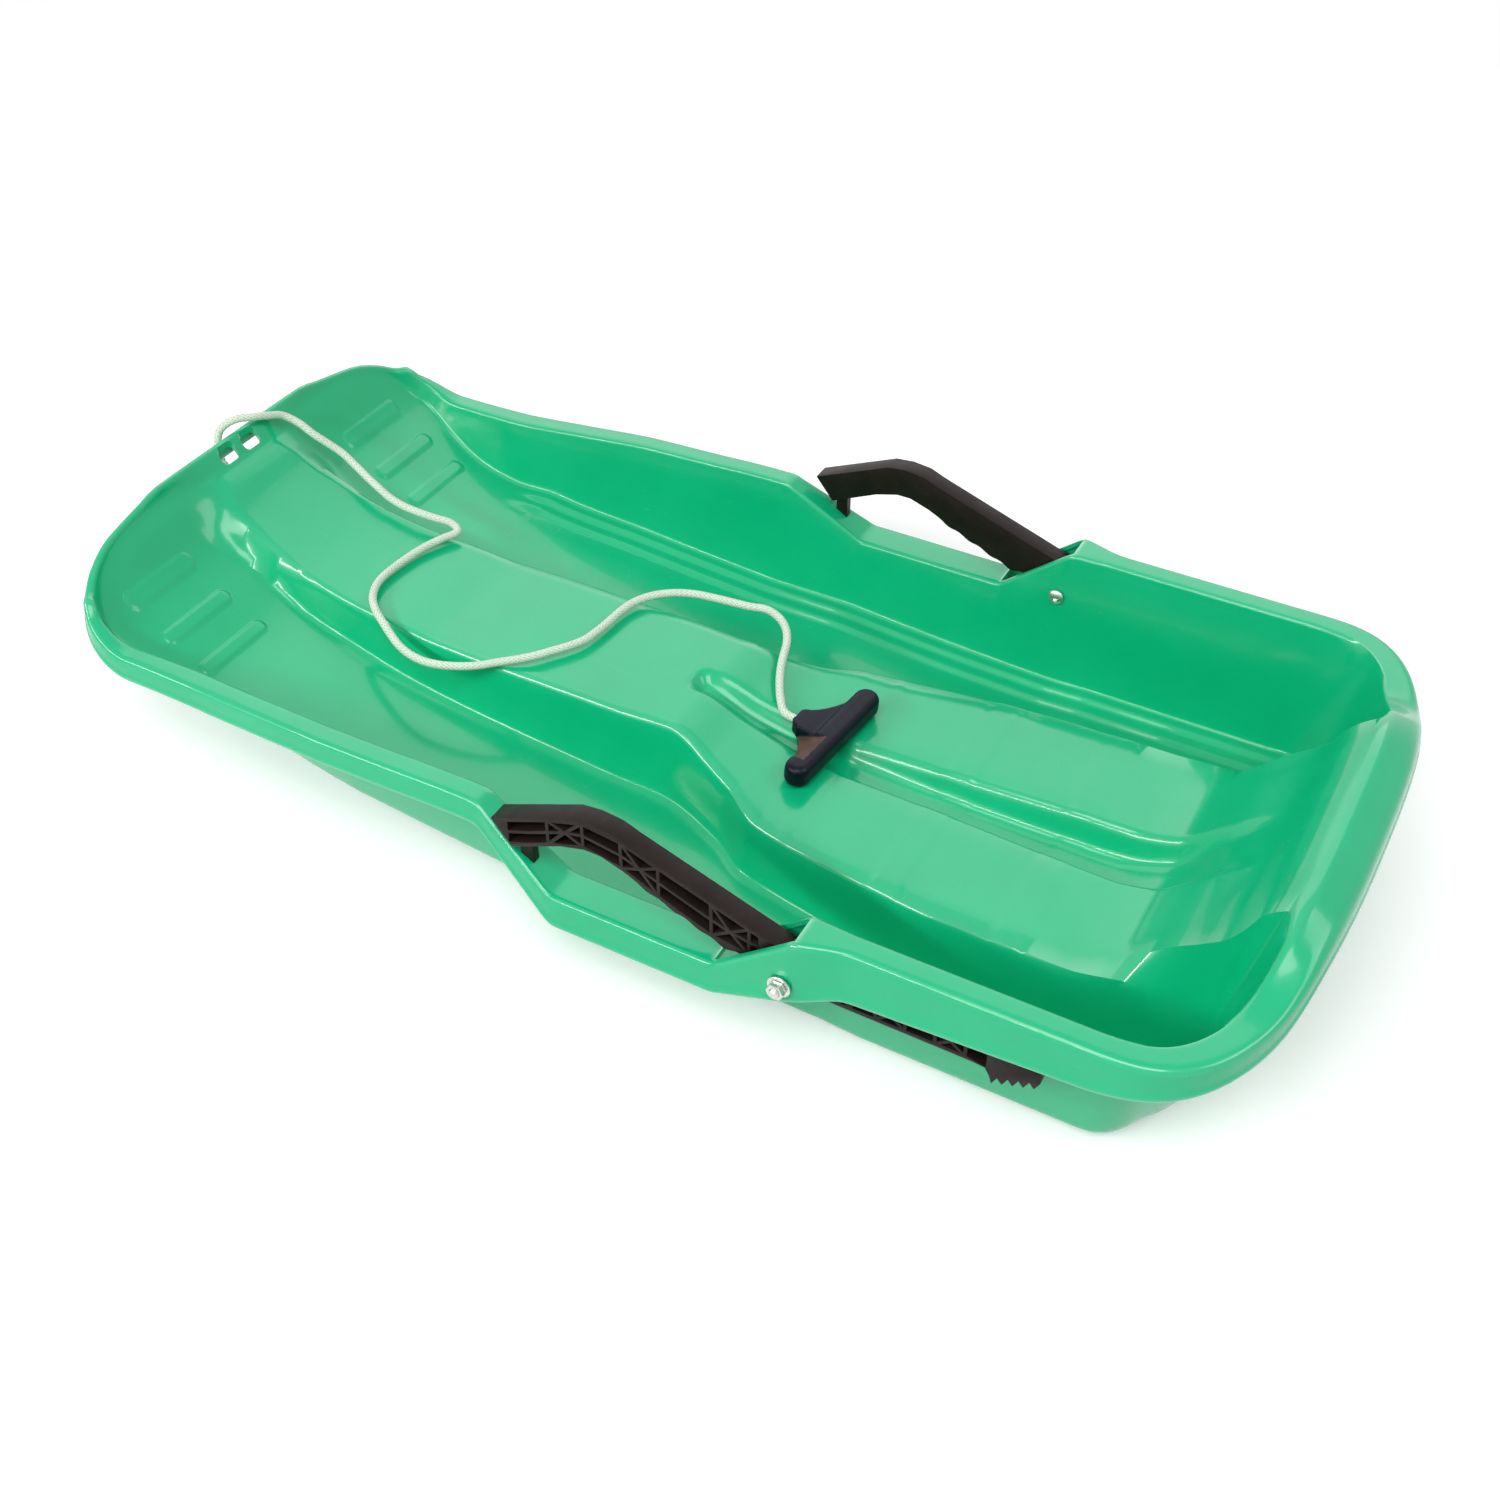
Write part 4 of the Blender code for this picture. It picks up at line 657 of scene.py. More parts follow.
FILLET = 3.2 * MM
FOOT_FILLET = 6 * MM
SAMPLE = 0.5 * MM
PLACES = np.arange(-HALF_LENGTH - 10 * MM, HALF_LENGTH + 10 * MM, SAMPLE)
TAIL_ROUND = 14 * MM
TAIL_ACROSS = np.arange(0, EAR_HALF_WIDTH, SAMPLE)
SIDE_ROUND = 8 * MM


def sampled(rule, *table, reach=0.0, places=PLACES):
    """Values of a rule at close places, with its corners rounded over a reach to either side."""
    count = int(round(reach / SAMPLE))
    padded = np.pad(np.array([rule(x, *table) for x in places]), count, mode="edge")
    return np.convolve(padded, np.ones(2 * count + 1) / (2 * count + 1), mode="valid")


def at(values, x):
    return np.interp(x, PLACES, values)


def seat_line(x):
    """Height of the middle body's top, with its seams."""
    seams = sum(band(x, place, SEAM_WIDTH, SEAM_RAMP) for place in seam_places())
    return along(x, BODY_LINE) + SEAM_RISE * seams


TROUGH = sampled(along, TROUGH_LINE, reach=3 * MM)
STEP = sampled(along, STEP_LINE)
BODY = sampled(seat_line, reach=1 * MM)
BODY_WIDTH = sampled(along, BODY_WIDTH_LINE, reach=2 * MM)
BODY_RUN = sampled(along, BODY_RUN_LINE)
GROOVE = sampled(along, GROOVE_LINE, reach=2 * MM)
GROOVE_WIDTH = sampled(along, GROOVE_WIDTH_LINE)
NOTCH = sampled(linear, NOTCH_LINE, reach=3 * MM)
TAIL_RISE = sampled(along, TAIL_RISE_LINE, reach=TAIL_ROUND, places=TAIL_ACROSS)
SIDE = sampled(linear, SIDE_LINE, reach=SIDE_ROUND)
RIM = sampled(linear, RIM_WIDTH_LINE, reach=6 * MM)
SKIRT = sampled(linear, SKIRT_LINE, reach=4 * MM)


def tail_share(x, y):
    """How much of the tail's rise a place on the rim has."""
    return float(np.interp(abs(y), TAIL_ACROSS, TAIL_RISE)) * along(x, TAIL_BLEND_LINE)


def soft(value, edge):
    """Clamp to 0 and 1 with rounded corners; edge is their reach as a share of the ramp."""
    edge = np.minimum(edge, 0.5)
    low = np.clip(value + edge, 0, None) ** 2 / (4 * edge)
    high = 1 - np.clip(1 + edge - value, 0, None) ** 2 / (4 * edge)
    return np.where(value < edge, low, np.where(value > 1 - edge, high, value))


def tub_height(x, y, side):
    """Height of the tub's floor with its edges rounded."""
    y = np.abs(y)
    step = at(STEP, x)
    low = at(TROUGH, x)
    low = low + step * soft((y - (side - 2 * STEP_WIDTH)) / STEP_RAMP, STEP_ROUND)
    low = low + step * soft((y - (side - STEP_WIDTH)) / STEP_RAMP, STEP_ROUND)
    run = at(BODY_RUN, x)
    rise = np.maximum(at(BODY, x) - low, 0)
    height = low + rise * soft((at(BODY_WIDTH, x) + run - y) / run, FILLET / run)
    lip = at(GROOVE_WIDTH, x)
    return height - at(GROOVE, x) * soft((lip - y) / GROOVE_WALL_RUN, FILLET / GROOVE_WALL_RUN)


def spread(anchors, counts):
    """Places between anchors, with a number of steps in each gap."""
    places = [anchors[0]]
    for a, b, count in zip(anchors, anchors[1:], counts):
        places += [a + (b - a) * k / count for k in range(1, count + 1)]
    return places


STEP_ROUND = 0.35
# Columns between the anchors of fine_half_widths, and how many of the gaps belong to the middle body
COLUMN_COUNTS = (2, 2, 2, 3, 2, 2, 5, 2, 2, 4, 2, 2, 9, 1, 3, 1, 2, 1, 3, 1, 1)
INNER_GAPS = 12


def fine_half_widths(x, side):
    """Half widths of the fine floor's columns, from the middle out to the wall's foot."""
    lip = along(x, GROOVE_WIDTH_LINE)
    half = along(x, BODY_WIDTH_LINE)
    foot = half + along(x, BODY_RUN_LINE)
    step = min(STEP_WIDTH, (side - foot) / 4)
    ramp = min(STEP_RAMP, step / 3)
    groove = lip - GROOVE_WALL_RUN
    inner = side - 2 * step
    outer = side - step
    small = min(FILLET, groove / 2)
    wide = min(FILLET, (side - foot) / 8)
    half_ramp = ramp / 2
    anchors = [0, groove - small, groove, groove + FILLET, lip - FILLET, lip, lip + FILLET]
    anchors += [half - FILLET, half, half + FILLET, foot - FILLET, foot, foot + wide]
    anchors += [inner - half_ramp, inner, inner + ramp, inner + ramp + half_ramp]
    anchors += [outer - half_ramp, outer, outer + ramp, outer + ramp + half_ramp]
    limit = side - FOOT_FILLET
    fixed = foot + wide
    share = min(1, (limit - ramp / 8 - fixed) / (anchors[-1] - fixed))
    anchors = [place if place <= fixed else fixed + (place - fixed) * share for place in anchors]
    return spread(anchors + [limit], COLUMN_COUNTS)


CLOSE_STEP = 2 * MM
WIDE_STEP = 3.6 * MM
SAME_PLACE = 0.1 * MM


def fine_stations():
    """Close stations, with the coarse ones among them, and the rank of each among the coarse ones."""
    coarse = stations()
    edges = (EAR_END, REAR_TOP, REAR_FOOT, NOTCH_FRONT_FOOT, NOTCH_FRONT_TOP)
    fine = []
    for k, (a, b) in enumerate(zip(coarse, coarse[1:])):
        near = min(abs(edge - middle) for edge in edges for middle in (a, b)) < SAME_PLACE
        count = max(1, math.ceil((b - a) / (CLOSE_STEP if near else WIDE_STEP)))
        fine += [(a + (b - a) * i / count, k + i / count) for i in range(count)]
    return fine + [(coarse[-1], len(coarse) - 1)]


def outline_point(x):
    """Outline point and outward normal at a station on the left side."""
    if TAIL_START <= x <= NOSE_START:
        half = float(at(SIDE, x))
        ahead = float(at(SIDE, x + GAP) - at(SIDE, x - GAP))
    else:
        half = side_half_width(x)
        ahead = side_half_width(x + GAP) - side_half_width(x - GAP)
    normal = Vector((-ahead, 2 * GAP)).normalized()
    if EAR_END - SIDE_ROUND <= x <= NOTCH_FRONT_TOP + SIDE_ROUND:
        normal = Vector((0, 1))
    return Vector((x, half)), normal


def inner_foot(point, normal, inside):
    """Plan point at the wall's foot, or inside it by the fillet's reach."""
    return point - normal * (float(at(RIM, point.x)) + wall_run(point.x, point.y) + inside)


def fine_end(corner, nose):
    """Outline points and normals across an end, from the middle out to the corner station."""
    reach = inner_foot(*corner, FOOT_FILLET).y
    sign = 1 if nose else -1
    middle = end_place(0, nose) - sign * RIM_WIDTH
    row = []
    for half in fine_half_widths(middle, reach + FOOT_FILLET):
        y = half * corner[0].y / reach
        ahead = end_place(y + GAP, nose) - end_place(y - GAP, nose)
        row.append((Vector((end_place(y, nose), y)), Vector((2 * GAP * sign, -ahead * sign)).normalized()))
    row[-1] = corner
    return row


CORNER_LIMIT = 0.47


def corner_curve(before, here, after, reach, count):
    """Points on a rounded corner, from its start to its end."""
    first = before - here
    second = after - here
    start = here + first.normalized() * min(reach, first.length * CORNER_LIMIT)
    end = here + second.normalized() * min(reach, second.length * CORNER_LIMIT)
    points = []
    for k in range(count + 1):
        t = k / count
        points.append(start * (1 - t) ** 2 + here * (2 * t * (1 - t)) + end * t**2)
    return points


LIP_BEAD = 0.6 * MM
LIP_BEAD_HEIGHT = 3.4 * MM
# Reach of the rounding at the wall's top and at the rim's outer edge, and what the tail adds to each
WALL_TOP_ROUND = 3.3 * MM
WALL_TOP_EXTRA = 2.5 * MM
RIM_EDGE_ROUND = 4.4 * MM
RIM_EDGE_EXTRA = 4 * MM
CORNER_STEPS = 5
WALL_STEPS = 4
RIM_STEPS = 5
SKIRT_STEPS = 3


def rim_profile(floor, foot, point, normal):
    """Points from the floor's edge up the wall, over the rim and down the skirt."""
    rim = float(at(RIM, point.x))
    tail = tail_share(point.x, point.y)
    if point.x > NOTCH_FRONT_TOP + FILLET:
        top = front_rim_height(point.x, point.y)
    else:
        side = float(at(NOTCH, point.x))
        top = side + (TAIL_EDGE_HEIGHT - side) * tail
    skirt = float(at(SKIRT, point.x))
    lift = (TAIL_HEIGHT - TAIL_EDGE_HEIGHT) * tail

    def place(out, height):
        return Vector((point.x + normal.x * out, point.y + normal.y * out, height))

    low = top - skirt
    share = 1 - LIP_BEAD_HEIGHT / skirt
    cage = [
        floor,
        foot,
        place(-rim, top + lift + RIM_CROWN),
        place(0, top + RIM_CROWN),
        place(SKIRT_FLARE * share, low + LIP_BEAD_HEIGHT),
    ]
    reaches = (FOOT_FILLET, WALL_TOP_ROUND + WALL_TOP_EXTRA * tail, RIM_EDGE_ROUND + RIM_EDGE_EXTRA * tail)
    points = [floor]
    for k, steps in zip((1, 2, 3), (1, WALL_STEPS, RIM_STEPS)):
        corner = corner_curve(cage[k - 1], cage[k], cage[k + 1], reaches[k - 1], CORNER_STEPS)
        previous = points[-1]
        points += [previous.lerp(corner[0], i / steps) for i in range(1, steps)]
        points += corner
    previous = points[-1]
    points += [previous.lerp(cage[4], i / SKIRT_STEPS) for i in range(1, SKIRT_STEPS + 1)]
    points.append(place(SKIRT_FLARE * share + LIP_BEAD, low + LIP_BEAD_HEIGHT * 0.7))
    points.append(place(SKIRT_FLARE + LIP_BEAD, low + LIP_BEAD_HEIGHT * 0.2))
    points.append(place(SKIRT_FLARE + LIP_BEAD * 0.5, low))
    return points[1:]


SLOT_FIRST = 2 * (CORNER_STEPS + 1) + WALL_STEPS - 1
SLOT_LAST = SLOT_FIRST + RIM_STEPS

RELAX_ROUNDS = 400


def relaxed(plan, low, high, outer):
    """Evens out the plan points between two rows and outside a column, so that no face folds."""
    for _ in range(RELAX_ROUNDS):
        block = plan[low:high + 1, outer:]
        middle = (block[:-2, 1:-1] + block[2:, 1:-1] + block[1:-1, :-2] + block[1:-1, 2:]) / 4
        block[1:-1, 1:-1] = middle


TAIL_CORNER_REACH = 30 * MM
TAIL_CORNER_ROUNDS = 40
TAIL_CORNER_LAST = 2 * CORNER_STEPS + WALL_STEPS


def eased_corners(mesh, rings, corners):
    """Rounds the tub's two tail corners, most along their creases and less to either side."""
    fixed = {vert for ring in rings for vert in ring[TAIL_CORNER_LAST:]}
    for corner in corners:
        spine = [vert.co.copy() for vert in rings[corner][:TAIL_CORNER_LAST]]
        reach = {}
        for vert in mesh.verts:
            if vert not in fixed and abs(vert.co.x - spine[0].x) < 4 * TAIL_CORNER_REACH:
                apart = min((vert.co - place).length for place in spine)
                if apart < TAIL_CORNER_REACH:
                    reach[vert] = 1 - apart / TAIL_CORNER_REACH
        for k in range(TAIL_CORNER_ROUNDS):
            near = [vert for vert, share in reach.items() if share > k / TAIL_CORNER_ROUNDS]
            bmesh.ops.smooth_vert(
                mesh, verts=near, factor=0.5, use_axis_x=True, use_axis_y=True, use_axis_z=True,
            )


def fine_hull():
    """The moulding's top face in close rows, open at the lever slots."""
    fine = fine_stations()
    last_rank = fine[-1][1]
    sides = [outline_point(x) for x, rank in fine]
    ends = [fine_end(sides[0], False), fine_end(sides[-1], True)]
    edges = [[inner_foot(*pair, FOOT_FILLET) for pair in row] for row in ends]
    rows = []
    limits = []
    for (x, rank), pair in zip(fine, sides):
        side = inner_foot(*pair, FOOT_FILLET)
        row = []
        fades = ((1 - rank / FADE_STATIONS, edges[0]), (1 - (last_rank - rank) / FADE_STATIONS, edges[1]))
        for j, y in enumerate(fine_half_widths(side.x, side.y + FOOT_FILLET)):
            place = side.x
            for share, edge in fades:
                place += smooth(share) * (edge[j].x - edge[-1].x)
                y += smooth(share) * (edge[j].y * side.y / edge[-1].y - y)
            row.append((place, y))
        rows.append(row)
        limits.append(side.y + FOOT_FILLET)
    rows[0], rows[-1] = ([tuple(place) for place in edge] for edge in edges)
    plan = np.array(rows)
    outer = sum(COLUMN_COUNTS[:INNER_GAPS])
    ranks = np.array([rank for x, rank in fine])
    relaxed(plan, 0, int(np.searchsorted(ranks, FADE_STATIONS)), outer)
    relaxed(plan, int(np.searchsorted(ranks, last_rank - FADE_STATIONS)), len(rows) - 1, outer)
    heights = tub_height(plan[:, :, 0], plan[:, :, 1], np.array(limits)[:, None])
    mesh = bmesh.new()
    grid = {}
    count, last = len(rows), len(rows[0]) - 1
    for i in range(count):
        for j in range(last + 1):
            x, y = plan[i, j]
            for sign in (-1, 1) if j else (1,):
                grid[i, sign * j] = mesh.verts.new((x, y * sign, heights[i, j]))
    for i in range(count - 1):
        for j in range(-last, last):
            mesh.faces.new((grid[i, j], grid[i + 1, j], grid[i + 1, j + 1], grid[i, j + 1]))
    loop = [(i, last, sides[i], 1) for i in range(count)]
    loop += [(count - 1, j, ends[1][abs(j)], 1 if j > 0 else -1) for j in range(last - 1, -last, -1)]
    loop += [(i, -last, sides[i], -1) for i in range(count - 1, -1, -1)]
    loop += [(0, j, ends[0][abs(j)], 1 if j > 0 else -1) for j in range(-last + 1, last)]
    rings = []
    for i, j, pair, sign in loop:
        start = grid[i, j]
        floor = Vector((start.co.x, abs(start.co.y), start.co.z))
        foot = inner_foot(*pair, 0)
        foot = Vector((foot.x, foot.y, float(tub_height(foot.x, foot.y, limits[i]))))
        profile = rim_profile(floor, foot, *pair)
        rings.append([start] + [mesh.verts.new((p.x, p.y * sign, p.z)) for p in profile])
    for k, ring in enumerate(rings):
        following = rings[(k + 1) % len(rings)]
        middle = (ring[-1].co.x + following[-1].co.x) / 2
        in_slot = REAR_TOP < middle < REAR_FOOT
        for row in range(len(ring) - 1):
            if in_slot and SLOT_FIRST <= row < SLOT_LAST:
                continue
            mesh.faces.new((ring[row], following[row], following[row + 1], ring[row + 1]))
    eased_corners(mesh, rings, (0, 2 * (count + last - 1)))
    bmesh.ops.recalc_face_normals(mesh, faces=mesh.faces)
    if sum(face.normal.z * face.calc_area() for face in mesh.faces) < 0:
        bmesh.ops.reverse_faces(mesh, faces=mesh.faces)
    return mesh


# Helpers for solids


def mesh_object(name, mesh, *materials):
    data = bpy.data.meshes.new(name)
    mesh.to_mesh(data)
    mesh.free()
    for mat in materials:
        data.materials.append(mat)
    piece = bpy.data.objects.new(name, data)
    bpy.context.scene.collection.objects.link(piece)
    return piece


def applied(piece):
    """Keeps the shape that the piece's modifiers give, and removes them."""
    graph = bpy.context.evaluated_depsgraph_get()
    data = bpy.data.meshes.new_from_object(piece.evaluated_get(graph))
    old = piece.data
    piece.modifiers.clear()
    piece.data = data
    bpy.data.meshes.remove(old)


def joined(piece, operation, mesh):
    """Adds a closed mesh to a piece, or takes it away, and removes the tool."""
    tool = mesh_object(piece.name + "_tool", closed(mesh))
    modifier = piece.modifiers.new("join", "BOOLEAN")
    modifier.operation = operation
    modifier.solver = "EXACT"
    modifier.object = tool
    applied(piece)
    data = tool.data
    bpy.data.objects.remove(tool, do_unlink=True)
    bpy.data.meshes.remove(data)


def finished(piece, body, slot, *nodes, angle=40):
    """Shades a piece, attaches it to its body and hides the nodes it stands for; the finish's name, slot, is
    not used.
    """
    piece.data.shade_smooth()
    piece.data.set_sharp_from_angle(angle=math.radians(angle))
    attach(piece, body)
    if nodes:
        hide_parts(*nodes)
    return piece


def bevelled(piece, width, angle, edge_material=-1):
    modifier = piece.modifiers.new("edges", "BEVEL")
    modifier.width = width
    modifier.segments = 2
    modifier.limit_method = "ANGLE"
    modifier.angle_limit = math.radians(angle)
    modifier.use_clamp_overlap = True
    modifier.material = edge_material
    applied(piece)


RIB_END_STEPS = 14
RIB_SLOPE_STEPS = 12
RIB_SINK = 0.4 * WALL


def rib_mesh(mesh):
    """Adds the foot ribs, with flared feet and rounded tops."""
    levels = [(-FOOT_RIB_FLARE, -RIB_SINK), (-FOOT_RIB_FLARE, 0.02 * MM)]
    for k in range(RIB_SLOPE_STEPS + 1):
        share = k / RIB_SLOPE_STEPS
        inset = -FOOT_RIB_FLARE + (FOOT_RIB_FLARE + FOOT_RIB_SLOPE) * share
        levels.append((inset, FOOT_RIB_RISE * smooth(share)))
    levels.append((FOOT_RIB_WIDTH * 0.45, FOOT_RIB_RISE + 0.05 * MM))
    for side in (-1, 1):
        for place in FOOT_RIB_PLACE_SHARES:
            rings = []
            for inset, rise in levels:
                ring = []
                for u, v in stadium(FOOT_RIB_LENGTH - 2 * inset, FOOT_RIB_WIDTH - 2 * inset, RIB_END_STEPS):
                    x = place * HULL_LENGTH + u
                    height = float(at(TROUGH, x)) + rise
                    ring.append(mesh.verts.new((x, side * (FOOT_RIB_MIDDLE + v), height)))
                rings.append(ring)
            stitched(mesh, rings, caps=True, flip=side < 0)


def add_hull(mat):
    hull = mesh_object("hull_moulding", fine_hull(), mat)
    shell = hull.modifiers.new("wall", "SOLIDIFY")
    shell.thickness = WALL
    shell.offset = -1
    applied(hull)
    holes = bmesh.new()
    for side in (-1, 1):
        depths = sorted((side * (HEAD_FACE - HEAD_DEPTH), side * (WASHER_FACE + WASHER_DEPTH)))
        prism(holes, circle(BORE_RADIUS, 40), *depths, at_pivot)
        outline = stadium(ROPE_HOLE_LENGTH, ROPE_HOLE_WIDTH, 16)

        def through_nose(x, y, z):
            return Vector((HALF_LENGTH - ROPE_HOLE_BACK + x, side * ROPE_HOLE_PITCH / 2 + y, z))

        prism(holes, outline, NOSE_HEIGHT / 2, NOSE_HEIGHT * 2, through_nose)
    joined(hull, "DIFFERENCE", holes)
    mesh = bmesh.new()
    mesh.from_mesh(hull.data)
    rib_mesh(mesh)
    mesh.to_mesh(hull.data)
    mesh.free()
    finished(hull, "hull", "green_moulding", "hull_shell")


# Brake levers


def block(outline, low, high, place):
    mesh = bmesh.new()
    prism(mesh, outline, low, high, place)
    return mesh


def slab(outline, side, start, end):
    """Closed prism over a side view, from one half width to another."""
    return block(outline, *sorted((side * start, side * end)), at_pivot)


def add_lever(label, side, mat, edge_mat):
    """One brake lever: grip, claw arm and boss in one moulding, ribbed on its outboard face."""
    grip = slab(grip_outline(), side, GRIP_INNER, GRIP_INNER + GRIP_WIDTH)
    lever = mesh_object("lever_moulding_" + label, closed(grip), mat, edge_mat)
    joined(lever, "UNION", slab(arm_outline(), side, ARM_INNER, ARM_INNER + ARM_WIDTH))
    tip = GRIP_BOTTOM[-1]
    foot = tip[0] - REST_LENGTH / 4
    heel = foot - REST_LENGTH

    def ramp(u):
        return linear(PIVOT_X + u, NOTCH_LINE) + RIM_CROWN + 2 * GAP - PIVOT_HEIGHT

    rest = [(foot, ramp(foot)), (foot, tip[1] + LEVER_SKIN / 2)]
    rest += [(heel, tip[1] + 2 * LEVER_SKIN), (heel, ramp(heel))]
    rest_start = GRIP_INNER + LEVER_WEB
    joined(lever, "UNION", slab(rest, side, rest_start, rest_start + REST_WIDTH))
    boss = circle(BOSS_RADIUS, 64, math.pi / 64)
    joined(lever, "UNION", slab(boss, side, BOSS_INNER, BOSS_INNER + BOSS_WIDTH))
    cuts = bmesh.new()
    grip_channel = (GRIP_TOP, GRIP_BOTTOM, GRIP_POCKET_SHARES, GRIP_CROSS_SHARES, GRIP_CROSS_REACH_SHARE)
    arm_channel = (ARM_TOP, ARM_BOTTOM, ARM_POCKET_SHARES, ARM_CROSS_SHARES, ARM_CROSS_REACH_SHARE)
    for channel, length, inner, width in (
        (grip_channel, GRIP_LENGTH, GRIP_INNER, GRIP_WIDTH), (arm_channel, ARM_LENGTH, ARM_INNER, ARM_WIDTH),
    ):
        depths = sorted((side * (inner + LEVER_WEB), side * (inner + width + LEVER_WEB)))
        for outline in pockets(*channel, length, length == GRIP_LENGTH):
            prism(cuts, outline, *depths, at_pivot)
    joined(lever, "DIFFERENCE", cuts)
    bore = slab(circle(BORE_RADIUS, 32), side, BOSS_INNER - LEVER_WEB, BOSS_INNER + BOSS_WIDTH + LEVER_WEB)
    joined(lever, "DIFFERENCE", bore)
    bevelled(lever, LEVER_EDGE, 32, 1)
    finished(lever, label + "_lever", "black_moulding", "brake_lever_" + label)


# Pivot bolts, washers and nuts

THREAD_PITCH = 1 * MM
PLAIN_SHANK = 9 * MM
WASHER_EDGE = 0.25 * MM
HEAD_EDGE = 0.2 * MM
NUT_EDGE = 0.18 * MM
DOME_STEPS = 12
DOME_SHARE = 0.82
THREAD_ROOT_SHARE = 0.86
BOLT_TIP_SHARE = 0.75


def turned(profile, sides, side):
    """Solid turned about the pivot's axis from (radius, depth) points, or a ring if none is on the axis."""
    mesh = bmesh.new()
    rings = []
    for radius, depth in profile:
        outline = circle(radius, sides if radius else 1)
        rings.append([mesh.verts.new(at_pivot(u, v, side * depth)) for u, v in outline])
    for a, b in zip(rings, rings[1:] + (rings[:1] if profile[0][0] else [])):
        for k in range(sides):
            n = (k + 1) % sides
            corners = [a[k % len(a)], a[n % len(a)], b[n % len(b)], b[k % len(b)]]
            mesh.faces.new(list(dict.fromkeys(corners)))
    return closed(mesh)


def add_fasteners(label, side, steel):
    nut_start = WASHER_FACE + WASHER_DEPTH + GAP
    nut_end = nut_start + GAP + NUT_DEPTH
    end = nut_end + BOLT_END
    crown = HEAD_FACE - HEAD_DEPTH
    profile = [(0, crown + 0.02 * MM)]
    for k in range(1, DOME_STEPS + 1):
        angle = math.pi / 2 * k / DOME_STEPS
        fall = HEAD_DEPTH * DOME_SHARE * (1 - math.cos(angle))
        profile.append((HEAD_RADIUS * math.sin(angle), crown + fall))
    profile += [(HEAD_RADIUS, HEAD_FACE - HEAD_EDGE), (HEAD_RADIUS - HEAD_EDGE, HEAD_FACE)]
    profile.append((BOLT_RADIUS, HEAD_FACE))
    depth = HEAD_FACE + PLAIN_SHANK
    while depth < end - BOLT_RADIUS / 3 - THREAD_PITCH:
        profile += [(BOLT_RADIUS, depth), (BOLT_RADIUS * THREAD_ROOT_SHARE, depth + THREAD_PITCH / 2)]
        depth += THREAD_PITCH
    profile += [(BOLT_RADIUS, end - BOLT_RADIUS / 3), (BOLT_RADIUS * BOLT_TIP_SHARE, end), (0, end)]
    bolt = mesh_object("bolt_" + label, turned(profile, 48, side), steel)
    socket = slab(circle(HEX_SOCKET_RADIUS, 6), side, crown - HEAD_DEPTH, crown + HEAD_DEPTH * 0.6)
    joined(bolt, "DIFFERENCE", socket)
    finished(bolt, "hull", "plated_steel", "pivot_bolt_" + label, angle=30)
    inner, outer = BORE_RADIUS, WASHER_RADIUS
    back = WASHER_FACE + WASHER_DEPTH
    ring = [(inner, WASHER_FACE + WASHER_EDGE), (inner + WASHER_EDGE, WASHER_FACE)]
    ring += [(outer - WASHER_EDGE, WASHER_FACE), (outer, WASHER_FACE + WASHER_EDGE)]
    ring += [(outer, back - WASHER_EDGE), (outer - WASHER_EDGE, back)]
    ring += [(inner + WASHER_EDGE, back), (inner, back - WASHER_EDGE)]
    washer = mesh_object("washer_" + label, turned(ring, 64, side), steel)
    finished(washer, "hull", "plated_steel", "pivot_washer_" + label, angle=30)
    nut = mesh_object("nut_" + label, closed(slab(circle(NUT_RADIUS, 6), side, nut_start, nut_end)), steel)
    wide, narrow = NUT_RADIUS * 1.04, NUT_RADIUS * 0.84
    top = nut_end + NUT_RADIUS * 0.02
    cone = [(0, nut_start - GAP), (wide, nut_start - GAP), (wide, nut_end - NUT_RADIUS * 0.1)]
    joined(nut, "INTERSECT", turned(cone + [(narrow, top), (0, top)], 64, side))
    joined(nut, "DIFFERENCE", slab(circle(BORE_RADIUS, 32), side, nut_start - GAP, nut_end + GAP))
    bevelled(nut, NUT_EDGE, 20)
    finished(nut, "hull", "plated_steel", "pivot_nut_" + label, angle=30)


# Handle, rope and knot

BAR_EXTRA_WIDTH = 3.2 * MM
BAR_EXTRA_HEIGHT = 2 * MM
BAR_RADIUS = 5.2 * MM
BAR_ROUND_STEPS = 8
SCOOP_FROM = 11 * MM
SCOOP_TO = 39 * MM
SCOOP_BACK = -2 * MM
SCOOP_RUN_OUT = 3 * MM
SCOOP_DEPTH = 5.5 * MM
NECK_STEPS = 24
HANDLE_VOXEL = 0.8 * MM


def scoop_line(u):
    """Depth of the finger scoop's floor, which slopes towards the neck's side of the bar."""
    top = HANDLE_THICKNESS / 2 + BAR_EXTRA_HEIGHT
    return top - SCOOP_DEPTH * (u - SCOOP_BACK) / (HANDLE_WIDTH / 2 - SCOOP_BACK)


def bar_mesh(top):
    """The handle's bar: a round-ended block with rounded edges."""
    bar = stadium(HANDLE_LENGTH, HANDLE_WIDTH + BAR_EXTRA_WIDTH, 20)
    outline = [(u - BAR_EXTRA_WIDTH / 2, v) for u, v in bar]
    curve = []
    for k in range(BAR_ROUND_STEPS + 1):
        angle = math.pi / 2 * k / BAR_ROUND_STEPS
        curve.append((BAR_RADIUS * (1 - math.sin(angle)), BAR_RADIUS * (1 - math.cos(angle))))
    levels = [(inset, depth - HANDLE_THICKNESS / 2) for inset, depth in curve]
    levels += [(inset, top - depth) for inset, depth in reversed(curve)]
    mesh = bmesh.new()
    rings = []
    for inset, depth in levels:
        rings.append([mesh.verts.new(in_handle(u, v, depth)) for u, v in shrink(outline, inset)])
    stitched(mesh, rings, caps=True)
    return closed(mesh)


def along_bar(u, depth, v):
    return in_handle(u, v, depth)


def along_neck(v, z, u):
    return in_handle(u, v, NECK_RAISE + z)


